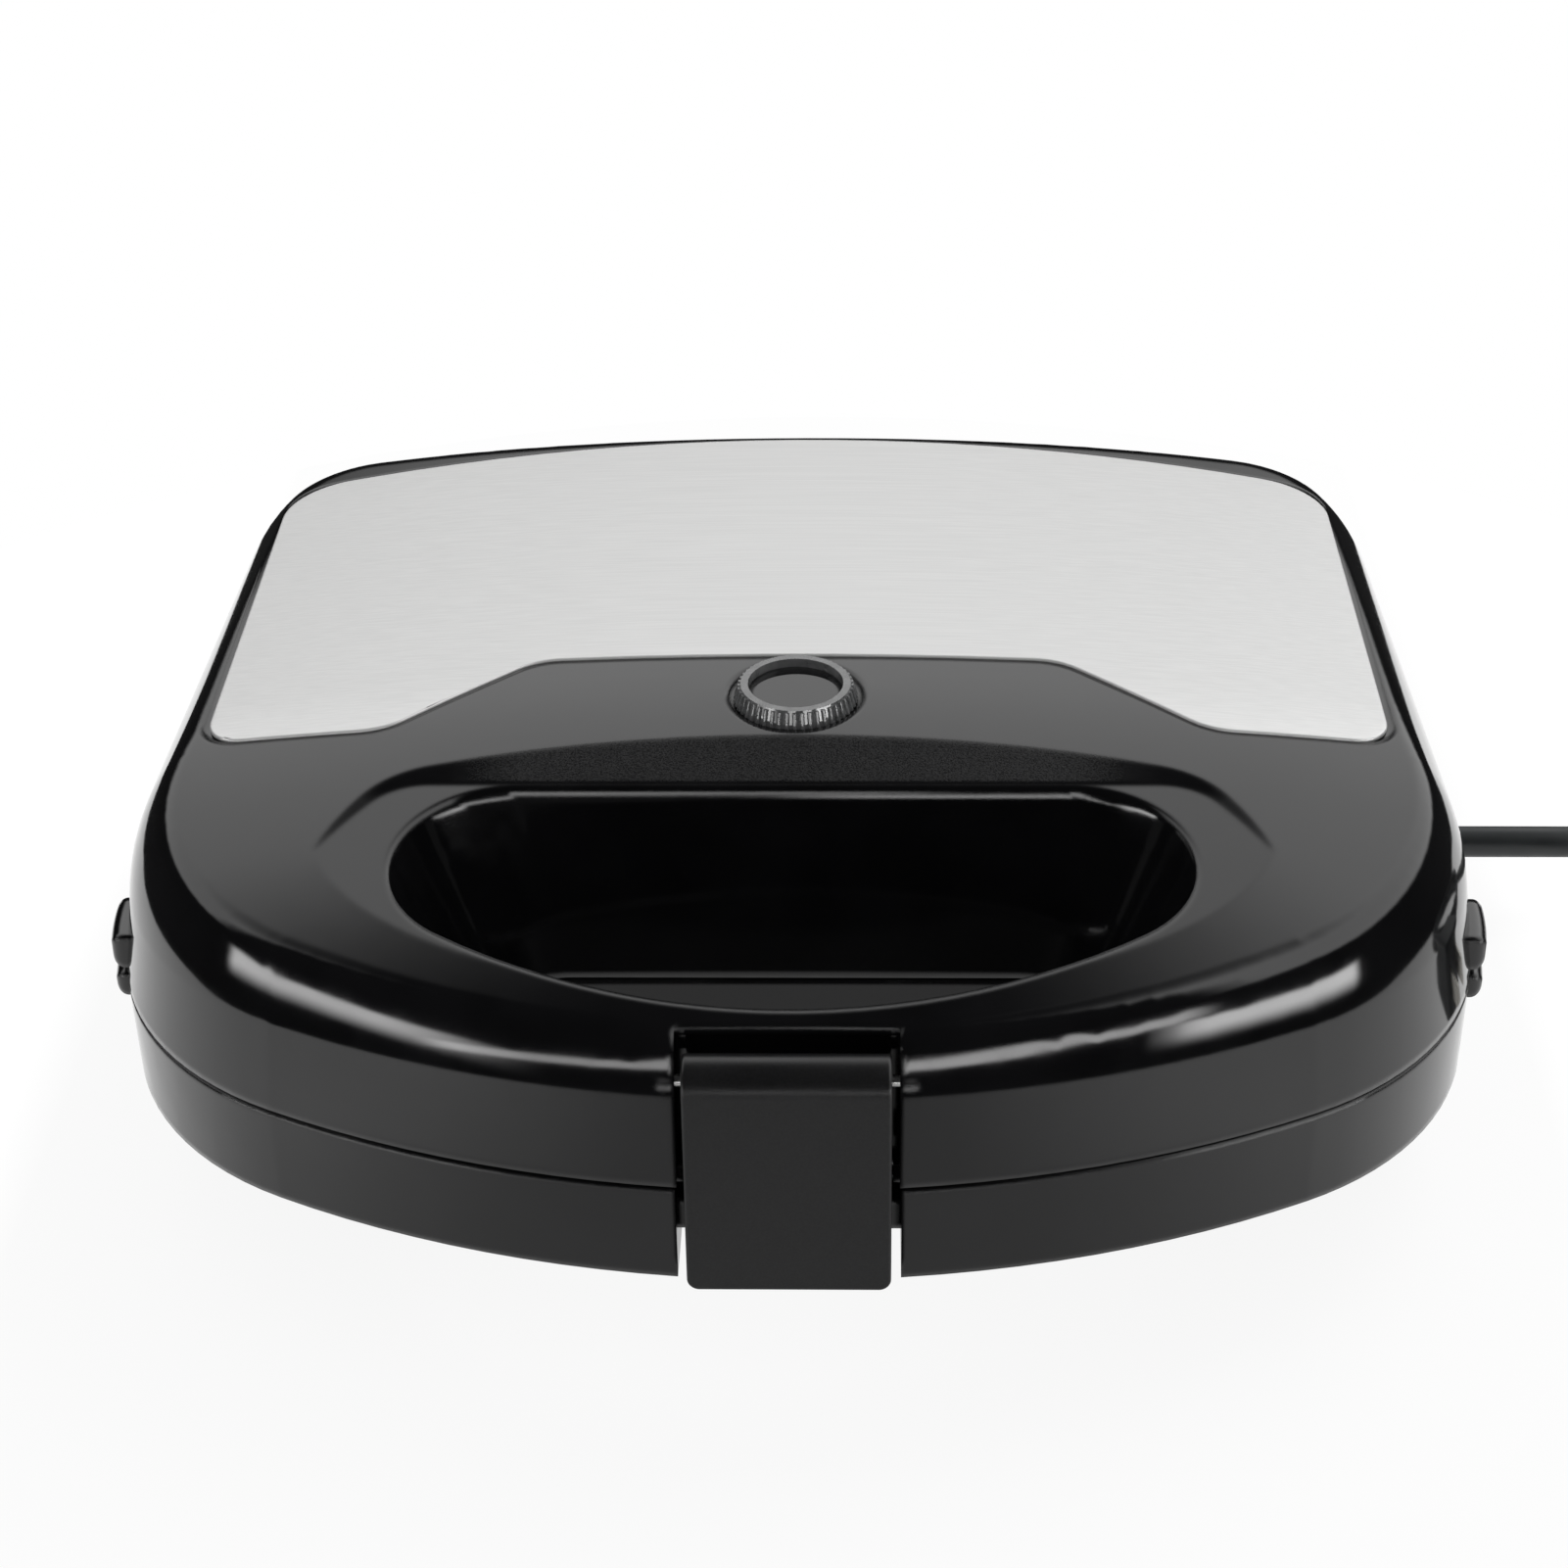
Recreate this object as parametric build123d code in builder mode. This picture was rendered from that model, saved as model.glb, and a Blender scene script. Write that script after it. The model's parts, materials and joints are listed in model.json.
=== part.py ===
from build123d import *
import os
from math import asin, cos, hypot, pi, radians, sin, sqrt, tan

os.makedirs("parts", exist_ok=True)

# Electric donut maker, closed, standing on its feet. Millimetres, +Z up, front faces -Y,
# +X to the right seen from the front, origin under the middle of the body on the table.

# Body outline, seen from above
body_width = 239.0
side_taper = 1.2
widest_y = 80.0
front_radius = 184.0
corner_radius = 63.0
rear_radius = 440.0
rear_corner_radius = 34.0
wall = 2.5

# Heights, measured from the parting plane between lid and base
parting_height = 50.0
parting_gap = 0.6
foot_height = 6.0
grip_drop = 18.0

# Lid form
lid_draft = 8.0
shoulder_start = 16.0
shoulder_radius = 36.0
shoulder_reach = 72.0
crown_radius = 1000.0
crown_reach = 0.55
crown_margin = 20.0
top_rear_height = 44.5
top_slope = 1.2
roll_start = 95.0
roll_radius = 290.0
lid_edge_radius = 5.0

# Base form
base_draft = 1.5
belly_start = 60.0
belly_full = 92.0
belly_bend = 14.0

# Finger opening behind the front handle bar
grip_rear = 61.0
grip_front = 19.0
grip_front_radius = 84.0
grip_corner_radius = 15.0
grip_flare_height = 45.0
grip_flare_rear = 65.4
grip_flare_front = 5.8
grip_flare_radius = 108.0
grip_flare_corner = 22.0
base_grip_flare = 1.5
grip_lip_height = 2.0
grip_lip_lean = 8.0

# Shallow dish that leads the fingers into the opening
dish_floor = 36.5
dish_tilt = 9.0
dish_margin = 1.0
dish_rise = 3.3
dish_width = 13.3
dish_radius = 90.0
dish_corner = 12.0
dish_front = -83.4

# Brushed steel panel on the lid
panel_thickness = 1.0
panel_sink = 0.6
panel_gap = 1.3
panel_edge_gap = 0.15
panel_side_inset = 15.5
panel_rear_inset = 24.5
panel_lobe_front = 81.0
panel_lobe_width = 32.0
panel_notch_front = 102.5
panel_notch_half_width = 47.0
panel_corner_radius = 7.0
panel_rear_corner_radius = 15.0
panel_bend_radius = 12.0

# Indicator ring on the lid
lamp_y = 89.0
lamp_seat_radius = 11.9
lamp_seat_depth = 1.2
lamp_ring_radius = 10.6
lamp_ring_top_radius = 9.7
lamp_ring_bore = 8.4
lamp_ring_height = 3.4
lamp_rib_count = 48
lamp_rib_radius = 0.42
lamp_cap_drop = 1.6
lamp_stem_radius = 9.6
lamp_stem_length = 3.0
lamp_stem_bore = 7.0
lamp_fit = 0.1
lamp_rib_start = 0.2
lamp_board_width = 26.0
lamp_board_depth = 18.0
lamp_board_thickness = 1.6
led_radius = 2.5
led_height = 1.8

# Front latch
latch_proud = 2.0
latch_width = 32.8
latch_thickness = 3.0
latch_bottom = 18.2
latch_nose_height = 19.4
latch_nose_radius = 4.6
latch_pivot_back = 5.2
latch_pivot_height = 18.0
latch_barrel_radius = 3.2
latch_pin_radius = 1.0
latch_recess_width = 35.4
latch_recess_depth = 7.8
latch_pocket_depth = 10.4
latch_pocket_top = 24.8
latch_notch_width = 36.0
latch_corner_radius = 2.0
catch_low = 9.5
catch_high = 4.0
catch_front = 3.2
hook_reach = 5.4
hook_height = 3.6
hook_gap = 0.4
hook_side = 2.0
latch_edge_radius = 0.6
notch_depth = 9.0
notch_low_depth = 15.5
latch_stop_width = 1.0
latch_stop_back = 2.5
latch_stop_depth = 3.5
latch_stop_height = 3.0

# Hinge at the rear
hinge_back = 6.5
hinge_height = 2.0
hinge_spread = 52.0
knuckle_radius = 5.5
knuckle_length = 14.0
ear_length = 7.0
hinge_play = 0.4
arm_reach = 16.0
arm_rise = 2.0
hinge_pin_radius = 2.5
running_clearance = 0.05

# Rear housing of the base, which carries the hinge ears and the cord outlet
housing_side_inset = 37.5
housing_top = 9.0
housing_edge_radius = 4.0
housing_top_radius = 2.0

# Donut plates, trays and heaters
plate_side_inset = 19.5
plate_depth = 118.0
plate_front = 72.5
plate_rear_inset = 27.5
plate_thickness = 2.0
plate_face_gap = 0.3
plate_corner_radius = 10.0
ring_columns = 3
ring_rows = 2
ring_side_inset = 4.0
ring_pitch_y = 58.0
ring_mean_radius = 17.5
ring_tube_radius = 8.5
plate_post_radius = 4.0
plate_post_inset = 5.0
tray_sheet = 0.8
tray_gap = 1.0
tray_depth = 20.0
tray_flange = 4.0
tray_screw_radius = 1.5
tray_screw_head_radius = 3.0
tray_screw_head = 1.8
tray_screw_length = 9.0
tray_screw_side_inset = 7.0
tray_screw_inset = 8.0
boss_radius = 4.0
bezel_sink = 0.8
bezel_thickness = 2.0
bezel_clearance = 0.5
bezel_post_side_inset = 34.5
bezel_post_front = 40.0
bezel_post_rear_x = 40.0
bezel_post_rear_inset = 13.0
element_radius = 3.25
element_side_inset = 34.0
element_bend = 26.0
element_front_inset = 22.0
element_tail = 9.0
element_lift = 0.5
saddle_width = 10.0
saddle_length = 6.0

# Plate release buttons at both sides
button_y = 70.0
button_length = 13.0
button_height_upper = 6.4
button_height_lower = 4.6
button_proud = 2.2
button_gap = 0.3
button_edge_radius = 2.0
button_flange = 1.6
button_flange_grow = 1.5
button_seat_inset = 15.1
button_seat_thickness = 1.6
button_seat_width = 8.0
spring_wire = 0.6
spring_radius = 2.2
spring_turns = 5
spring_gap = 0.3

# Feet
foot_radius = 8.0
foot_side_inset = 31.5
foot_front = 112.0
foot_rear_inset = 26.0
foot_stem_radius = 2.5
foot_stem_clearance = 0.1
foot_stem_length = 4.5
foot_taper = 6.0

# Vents in the base's floor
vent_length = 34.0
vent_width = 3.0
vent_pitch = 9.0
vent_rows = 5
vent_x = 34.0
vent_y = 140.0

# Electrical pieces inside
bracket_length = 40.0
bracket_width = 14.0
bracket_thickness = 1.0
thermostat_radius = 8.0
thermostat_height = 8.0
blade_width = 6.3
blade_thickness = 0.8
blade_height = 6.0
blade_pitch = 8.0
fuse_radius = 2.2
fuse_length = 12.0
fuse_lead_radius = 0.5
fuse_lead_length = 8.0
fuse_y = 24.0
block_length = 30.0
block_width = 14.0
block_height = 10.0
block_side_inset = 41.5
block_screw_radius = 2.0
block_screw_depth = 6.0
block_ways = 3

# Power cord
cord_diameter = 6.5
cord_rear_inset = 54.5
cord_z = 16.5
cord_straight = 30.0
cord_fall = [(50.0, 5.5, 3.5), (72.0, 16.5, 8.7)]
cord_rest = 25.0
cord_bend_share = 0.45
relief_reach = 11.5
relief_neck_radius = 5.0
relief_flange_radius = 7.0
relief_flange = 3.0
relief_root_radius = 6.2
relief_tip_radius = 4.2
relief_clearance = 0.6
coil_reach = 130.5
coil_shift = 24.0
coil_gap = 0.55
coil_outer_radius = 38.0
coil_lift = 1.2
tie_width = 5.0
tie_thickness = 0.9
tie_clearance = 0.3
plug_sleeve_start = 10.0
plug_sleeve_length = 26.0
plug_sleeve_tip_radius = 3.7
plug_sleeve_root_radius = 6.0
plug_length = 34.0
plug_width = 25.0
plug_edge_radius = 4.0
pin_pitch = 12.7
pin_width = 6.3
pin_thickness = 1.5
pin_length = 16.0
pin_root = 4.0

# Derived sizes and places
body_depth = plate_front + plate_depth + plate_rear_inset
plate_width = body_width - 2 * plate_side_inset
ring_pitch_x = (plate_width - 2 * ring_side_inset) / ring_columns
plate_post_outer_x = plate_width / 2 - plate_post_inset
tray_screw_x = plate_width / 2 - tray_screw_side_inset
element_half_width = plate_width / 2 - element_side_inset
panel_half_width = body_width / 2 - panel_side_inset
panel_lobe_inner = panel_half_width - panel_lobe_width
housing_width = body_width - 2 * housing_side_inset
button_seat_x = body_width / 2 - button_seat_inset
foot_x = body_width / 2 - foot_side_inset
foot_rear = body_depth - foot_rear_inset
bezel_post_x = body_width / 2 - bezel_post_side_inset
bezel_post_rear = body_depth - bezel_post_rear_inset
block_x = body_width / 2 - block_side_inset
cord_y = body_depth - cord_rear_inset
cord_start_x = body_width / 2 + relief_reach
coil_x = body_width / 2 + coil_reach
latch_front = -(latch_proud + body_depth + hinge_back + knuckle_radius) / 2
front = latch_front + latch_proud
rear = front + body_depth
parting = parting_height
lid_floor = parting + parting_gap / 2
base_rim = parting - parting_gap / 2
base_bottom = foot_height
grip_bottom = parting - grip_drop
hinge_y = rear + hinge_back
hinge_z = parting + hinge_height
far = 3 * body_width
corner_middle_x = body_width / 2 - corner_radius
corner_tangent_y = front_radius - sqrt((front_radius - corner_radius) ** 2 - corner_middle_x**2)


def top_height(y_from_front):
    """Height of the lid's middle line above the parting plane."""
    roll_height = top_rear_height - (body_depth - roll_start) * tan(radians(top_slope))
    if y_from_front >= roll_start:
        return roll_height + (y_from_front - roll_start) * tan(radians(top_slope))
    lean = asin(sin(radians(top_slope)) + (roll_start - y_from_front) / roll_radius)
    return roll_height - roll_radius * (cos(radians(top_slope)) - cos(lean))


def top_tilt(y_from_front):
    """Forward tilt of the lid's middle line, in degrees."""
    run = max(roll_start - y_from_front, 0)
    lean = asin(sin(radians(top_slope)) + run / roll_radius)
    return lean * 180 / pi


def side_x(y_from_front):
    """Half width of the body's sides, which close in slightly towards the rear."""
    return body_width / 2 - (y_from_front - widest_y) * tan(radians(side_taper))


def body_outline(height, inset=0.0):
    """Plan outline of lid and base, drawn in by inset."""
    with BuildSketch(Plane.XY.offset(height)) as outline:
        with Locations((0, front + front_radius)):
            Circle(front_radius - inset)
        with Locations((0, rear - rear_radius)):
            Circle(rear_radius - inset, mode=Mode.INTERSECT)
        with BuildLine():
            Polyline(
                (side_x(-far) - inset, front - far),
                (side_x(far) - inset, front + far),
                (inset - side_x(far), front + far),
                (inset - side_x(-far), front - far),
                close=True,
            )
        make_face(mode=Mode.INTERSECT)
        fillet(outline.vertices().sort_by(Axis.Y)[:2], corner_radius - inset)
        fillet(outline.vertices().sort_by(Axis.Y)[-2:], rear_corner_radius - inset)
    return outline.sketch


def crowned_layer(low, high):
    """Layer that follows the crowned top, between two offsets from its surface."""
    crown_z = parting + top_rear_height - crown_radius
    half_angle = asin(crown_reach * body_width / crown_radius)
    plane = Plane(
        origin=(0, 0, crown_z),
        x_dir=(0, 1, 0),
        z_dir=(cos(half_angle), 0, sin(half_angle)),
    )
    stations = (body_depth + crown_margin, roll_start, roll_start / 2, -crown_margin)

    def surface(lift):
        lift_z = parting + lift - crown_z
        return [(front + y, top_height(y) + lift_z) for y in stations]

    above = surface(high)
    below = surface(low)
    with BuildPart() as layer:
        with BuildSketch(plane):
            with BuildLine():
                Line(above[0], above[1])
                ThreePointArc(above[1], above[2], above[3])
                Line(above[3], below[3])
                ThreePointArc(below[3], below[2], below[1])
                Line(below[1], below[0])
                Line(below[0], above[0])
            make_face()
        revolve(
            axis=Axis((0, 0, crown_z), (0, 1, 0)),
            revolution_arc=2 * half_angle * 180 / pi,
        )
    return layer.part


def lid_form(inset):
    """Outer form of the lid, or its inner form when drawn in by the wall."""
    outline = body_outline(lid_floor, inset)
    path = body_outline(lid_floor).face().outer_wire()
    start = path @ 0
    along = path % 0
    inward = along.cross(Vector(0, 0, 1))
    if inward.dot(Vector(0, 0, lid_floor) - start) < 0:
        inward = -inward
    section = Plane(origin=start, x_dir=inward, z_dir=inward.cross(Vector(0, 0, 1)))
    lean = radians(lid_draft)
    centre_x = shoulder_start * tan(lean) + shoulder_radius * cos(lean)
    centre_z = shoulder_start - shoulder_radius * sin(lean)
    radius = shoulder_radius - inset
    reach = radians(shoulder_reach)
    half = (lean + reach) / 2
    foot = -parting_gap
    low = (inset / cos(lean) + foot * tan(lean), foot)
    bend = (centre_x - radius * cos(lean), centre_z + radius * sin(lean))
    middle = (centre_x - radius * cos(half), centre_z + radius * sin(half))
    high = (centre_x - radius * cos(reach), centre_z + radius * sin(reach))
    clear = -crown_margin
    with BuildPart() as form:
        add(outline)
        extrude(amount=high[1])
        with BuildSketch(section):
            with BuildLine():
                Line(low, bend)
                ThreePointArc(bend, middle, high)
                Line(high, (high[0], body_width / 2))
                Line((high[0], body_width / 2), (clear, body_width / 2))
                Line((clear, body_width / 2), (clear, foot))
                Line((clear, foot), low)
            make_face()
        sweep(path=path, mode=Mode.SUBTRACT)
        add(crowned_layer(-body_width / 2, -inset), mode=Mode.INTERSECT)
    return form.part


def base_form(inset):
    """Outer form of the base, or its inner form when drawn in by the wall."""
    run = belly_full - belly_start
    drop = grip_bottom - base_bottom
    shift = inset * (hypot(run, drop) - run) / drop
    low = base_bottom + inset
    high = grip_bottom + inset
    with BuildPart() as form:
        add(body_outline(base_rim, inset))
        extrude(amount=parting_height, dir=(0, 0, -1), taper=base_draft)
        with BuildSketch(Plane.YZ):
            with BuildLine():
                Polyline(
                    (front - wall, parting_height),
                    (front - wall, high),
                    (front + belly_start + shift, high),
                    (front + belly_full + shift, low),
                    (rear + far, low),
                    (rear + far, parting_height),
                    close=True,
                )
            bottom = make_face()
            bends = bottom.vertices().filter_by_position(
                Axis.X, front + belly_start, front + belly_full + wall
            )
            fillet(bends, belly_bend)
        extrude(amount=body_width, both=True, mode=Mode.INTERSECT)
    return form.part


def grip_section(plane, edge_front, edge_rear, radius, corner, grow=0.0):
    """D-shaped section of the finger opening, its edges measured from the plane's origin."""
    with BuildSketch(plane) as section:
        with Locations((0, edge_front + radius)):
            Circle(radius + grow)
        with Locations((0, edge_rear + grow - far)):
            Rectangle(2 * far, 2 * far, mode=Mode.INTERSECT)
        fillet(section.vertices(), corner + grow)
    return section.sketch


def level(height):
    """Horizontal plane whose origin is on the middle of the front edge."""
    return Plane(origin=(0, front, height))


def lid_grip_section(height, grow):
    """Section of the flared finger opening at a height above the parting plane."""
    share = height / grip_flare_height
    low = (grip_front, grip_rear, grip_front_radius, grip_corner_radius)
    high = (grip_flare_front, grip_flare_rear, grip_flare_radius, grip_flare_corner)
    shape = [start + (end - start) * share for start, end in zip(low, high)]
    return grip_section(level(parting + height), *shape, grow)


def lid_grip(grow=0.0):
    """Flared passage of the finger opening through the lid, with a lip that leans further out."""
    lip_grow = grip_lip_height * tan(radians(grip_lip_lean))
    with BuildPart() as passage:
        loft(
            sections=[lid_grip_section(0.0, grow), lid_grip_section(grip_flare_height, grow)],
            ruled=True,
        )
        loft(
            sections=[
                lid_grip_section(dish_floor - 2 * grip_lip_height, grow - lip_grow),
                lid_grip_section(dish_floor + grip_lip_height, grow + 2 * lip_grow),
            ],
            ruled=True,
        )
    return passage.part


def base_grip(grow=0.0):
    """Passage of the finger opening through the base."""
    shape = (grip_front, grip_rear, grip_front_radius, grip_corner_radius)
    with BuildPart() as passage:
        loft(
            sections=[
                grip_section(level(parting), *shape, grow),
                grip_section(level(base_bottom), *shape, grow + base_grip_flare),
            ],
            ruled=True,
        )
    return passage.part


def grip_dish(grow=0.0):
    """Flat-floored dish round the opening, tilted with the lid's front and open at the sides."""
    share = dish_floor / grip_flare_height
    edge_rear = grip_rear + (grip_flare_rear - grip_rear) * share
    floor = Plane(
        origin=(0, front + edge_rear, parting + dish_floor - grow),
        x_dir=(1, 0, 0),
        z_dir=(0, -sin(radians(dish_tilt)), cos(radians(dish_tilt))),
    )
    shape = (dish_front - edge_rear, dish_margin, dish_radius, dish_corner)
    with BuildPart() as dish:
        loft(
            sections=[
                grip_section(floor, *shape, grow),
                grip_section(floor.offset(2 * dish_rise), *shape, grow + 2 * dish_width),
            ],
            ruled=True,
        )
    return dish.part


# Plane of the indicator, on the lid's surface and tilted with it
lamp_plane = Plane(
    origin=(0, front + lamp_y, parting + top_height(lamp_y)),
    x_dir=(1, 0, 0),
    z_dir=(0, -sin(radians(top_tilt(lamp_y))), cos(radians(top_tilt(lamp_y)))),
)

# Places shared by trays, plates and what carries them
mirror_plane = Plane.XY.offset(parting)
plate_middle = front + plate_front + plate_depth / 2
plate_face = parting - plate_face_gap
plate_under = plate_face - plate_thickness
tray_inner_width = plate_width + 2 * tray_gap
tray_inner_length = plate_depth + 2 * tray_gap
tray_inner_radius = plate_corner_radius + tray_gap
tray_bottom = parting - tray_depth
tray_floor = tray_bottom + tray_sheet
tray_rear = plate_middle + tray_inner_length / 2
bezel_top = parting - bezel_sink
bezel_bottom = bezel_top - bezel_thickness
tray_screw_y = tray_inner_length / 2 - tray_screw_inset
tray_screws = [
    (x, plate_middle + y)
    for x in (-tray_screw_x, tray_screw_x)
    for y in (-tray_screw_y, tray_screw_y)
]
bezel_posts = [
    (side * x, front + y)
    for side in (-1, 1)
    for x, y in ((bezel_post_x, bezel_post_front), (bezel_post_rear_x, bezel_post_rear))
]
feet = [
    (side * foot_x, front + y) for side in (-1, 1) for y in (foot_front, foot_rear)
]
latch_y = front + latch_pivot_back
latch_z = parting + latch_pivot_height
nose_y = latch_front + latch_nose_radius
nose_z = parting + latch_nose_height
button_start = parting_gap / 2 + button_gap


def panel_outline(side_gap=0.0, edge_gap=0.0):
    """Outline of the steel panel: two lobes beside a notch for the indicator."""
    rear_edge = rear - panel_rear_inset
    half = panel_half_width + side_gap
    lobe_y = front + panel_lobe_front - edge_gap
    notch_y = front + panel_notch_front - edge_gap
    with BuildSketch() as outline:
        with Locations((0, rear_edge - rear_radius)):
            Circle(rear_radius + edge_gap)
        with BuildLine():
            Polyline(
                (-half, rear),
                (-half, lobe_y),
                (-panel_lobe_inner, lobe_y),
                (-panel_notch_half_width, notch_y),
                (panel_notch_half_width, notch_y),
                (panel_lobe_inner, lobe_y),
                (half, lobe_y),
                (half, rear),
                close=True,
            )
        make_face(mode=Mode.INTERSECT)
        fillet(outline.vertices().group_by(Axis.Y)[-1], panel_rear_corner_radius + edge_gap)
        lobes = outline.vertices().group_by(Axis.Y)[0].sort_by(Axis.X)
        fillet([lobes[0], lobes[-1]], panel_corner_radius + edge_gap)
        bends = outline.vertices().filter_by_position(
            Axis.X, -panel_lobe_inner - 1, panel_lobe_inner + 1
        )
        fillet(bends, panel_bend_radius)
    return outline.sketch


def prism(sketch, height=far):
    """Straight block above a sketch."""
    with BuildPart() as block:
        add(sketch)
        extrude(amount=height)
    return block.part


def bosses(places, radius, start, reach, bore=0.0):
    """Round posts, or the bores in them, that run from a height over a distance."""
    with BuildPart() as posts:
        with BuildSketch(Plane.XY.offset(start)):
            with Locations(*places):
                Circle(radius)
                if bore:
                    Circle(bore, mode=Mode.SUBTRACT)
        extrude(amount=reach)
    return posts.part


def front_slot(width, depth, low, high):
    """Block cut into the middle of the front, from far ahead to a depth behind the front edge."""
    with BuildPart() as slot:
        with Locations((0, front + depth - far / 2, (low + high) / 2)):
            Box(width, far, high - low)
    return slot.part


def hinge_barrel(x, length, radius):
    """Barrel on the hinge axis."""
    with BuildPart() as barrel:
        with BuildSketch(Plane.YZ.offset(x - length / 2)):
            with Locations((hinge_y, hinge_z)):
                Circle(radius)
        extrude(amount=length)
    return barrel.part


def button_box(side, low, high, grow, inner_x):
    """Box of a side button's height and length, from a distance off the middle outwards."""
    with BuildPart() as box:
        with Locations((side * (inner_x + far / 2), front + button_y, (low + high) / 2)):
            Box(far, button_length + 2 * grow, high - low)
    return box.part


def release_button(side, low, high, draft, flange_low, flange_high):
    """Side button: a pad through the wall with a retaining flange behind it."""
    lean = max(abs(flange_low - parting), abs(flange_high - parting)) * tan(radians(draft))
    flange_outer = wall + lean + button_gap
    pad = button_box(side, low, high, 0.0, button_seat_x)
    collar = button_box(side, flange_low, flange_high, button_flange_grow, button_seat_x)
    with BuildPart() as pad_ring:
        add(body_outline(low, -button_proud))
        extrude(amount=high - low)
        add(body_outline(low, flange_outer))
        extrude(amount=high - low, mode=Mode.SUBTRACT)
    with BuildPart() as flange_ring:
        add(body_outline(flange_low, flange_outer))
        extrude(amount=flange_high - flange_low)
        add(body_outline(flange_low, flange_outer + button_flange))
        extrude(amount=flange_high - flange_low, mode=Mode.SUBTRACT)
    with BuildPart() as flange:
        add(flange_ring.part)
        add(collar, mode=Mode.INTERSECT)
    with BuildPart() as button:
        add(pad_ring.part)
        add(pad, mode=Mode.INTERSECT)
        outer_face = button.faces().sort_by(Axis.X)[0 if side < 0 else -1]
        fillet(outer_face.edges(), button_edge_radius)
        add(flange.part)
    return button.part


def button_seat(side, low, high):
    """Rib of the shell that the button's spring leans on."""
    with BuildPart() as rib:
        x = side * (button_seat_x + button_seat_thickness / 2)
        with Locations((x, front + button_y, (low + high) / 2)):
            Box(button_seat_thickness, button_seat_width, high - low)
    return rib.part


def button_spring(side, centre_z, end_x):
    """Coil spring between the shell's rib and the button's flange."""
    start_x = button_seat_x + button_seat_thickness
    run = end_x - start_x - spring_wire - spring_gap
    start = (side * (start_x + spring_wire / 2), front + button_y, centre_z)
    with BuildPart() as spring:
        with BuildLine():
            turn = Helix(
                run / spring_turns, run, spring_radius, center=start, direction=(side, 0, 0)
            )
        with BuildSketch(Plane(origin=turn @ 0, z_dir=turn % 0)):
            Circle(spring_wire / 2)
        sweep()
    return spring.part


def spring_end(reach, draft):
    """Distance from the middle to the inner face of a button's flange, where the spring ends."""
    bend = sqrt(corner_radius**2 - (corner_tangent_y - button_y) ** 2) - corner_radius
    outline_x = side_x(button_y) + bend
    return outline_x - wall - reach * tan(radians(draft)) - button_gap - button_flange


# Edges of the side buttons
upper_low = parting + button_start
upper_high = upper_low + button_height_upper
lower_high = parting - button_start
lower_low = lower_high - button_height_lower
upper_flange_high = upper_high + button_flange_grow
lower_flange_low = lower_low - button_flange_grow
sides = {"left": -1, "right": 1}

latch_room_top = parting + top_rear_height
latch_pocket_high = parting + latch_pocket_top
latch_room = front_slot(latch_recess_width, latch_recess_depth, 0, latch_room_top)
latch_pocket = front_slot(latch_recess_width, latch_pocket_depth, 0, latch_pocket_high)
latch_room_wall = front_slot(
    latch_recess_width + 2 * wall, latch_pocket_depth + wall, 0, latch_room_top
)

# Hollow of the lid: the inner form less the walls, ribs and bosses that stand in it
with BuildPart() as lid_hollow:
    add(lid_form(wall))
    add(lid_grip(wall), mode=Mode.SUBTRACT)
    add(grip_dish(wall), mode=Mode.SUBTRACT)
    add(latch_room_wall, mode=Mode.SUBTRACT)
    add(bosses(tray_screws, boss_radius, parting + tray_depth, far), mode=Mode.SUBTRACT)
    add(
        bosses(bezel_posts, boss_radius, parting + bezel_sink + bezel_thickness, far),
        mode=Mode.SUBTRACT,
    )
    for side in sides.values():
        add(button_seat(side, upper_low, parting + far), mode=Mode.SUBTRACT)

# Recess for the steel panel
with BuildPart() as panel_recess:
    add(crowned_layer(-panel_sink, top_rear_height))
    add(prism(panel_outline(panel_gap, panel_edge_gap)), mode=Mode.INTERSECT)

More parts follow.
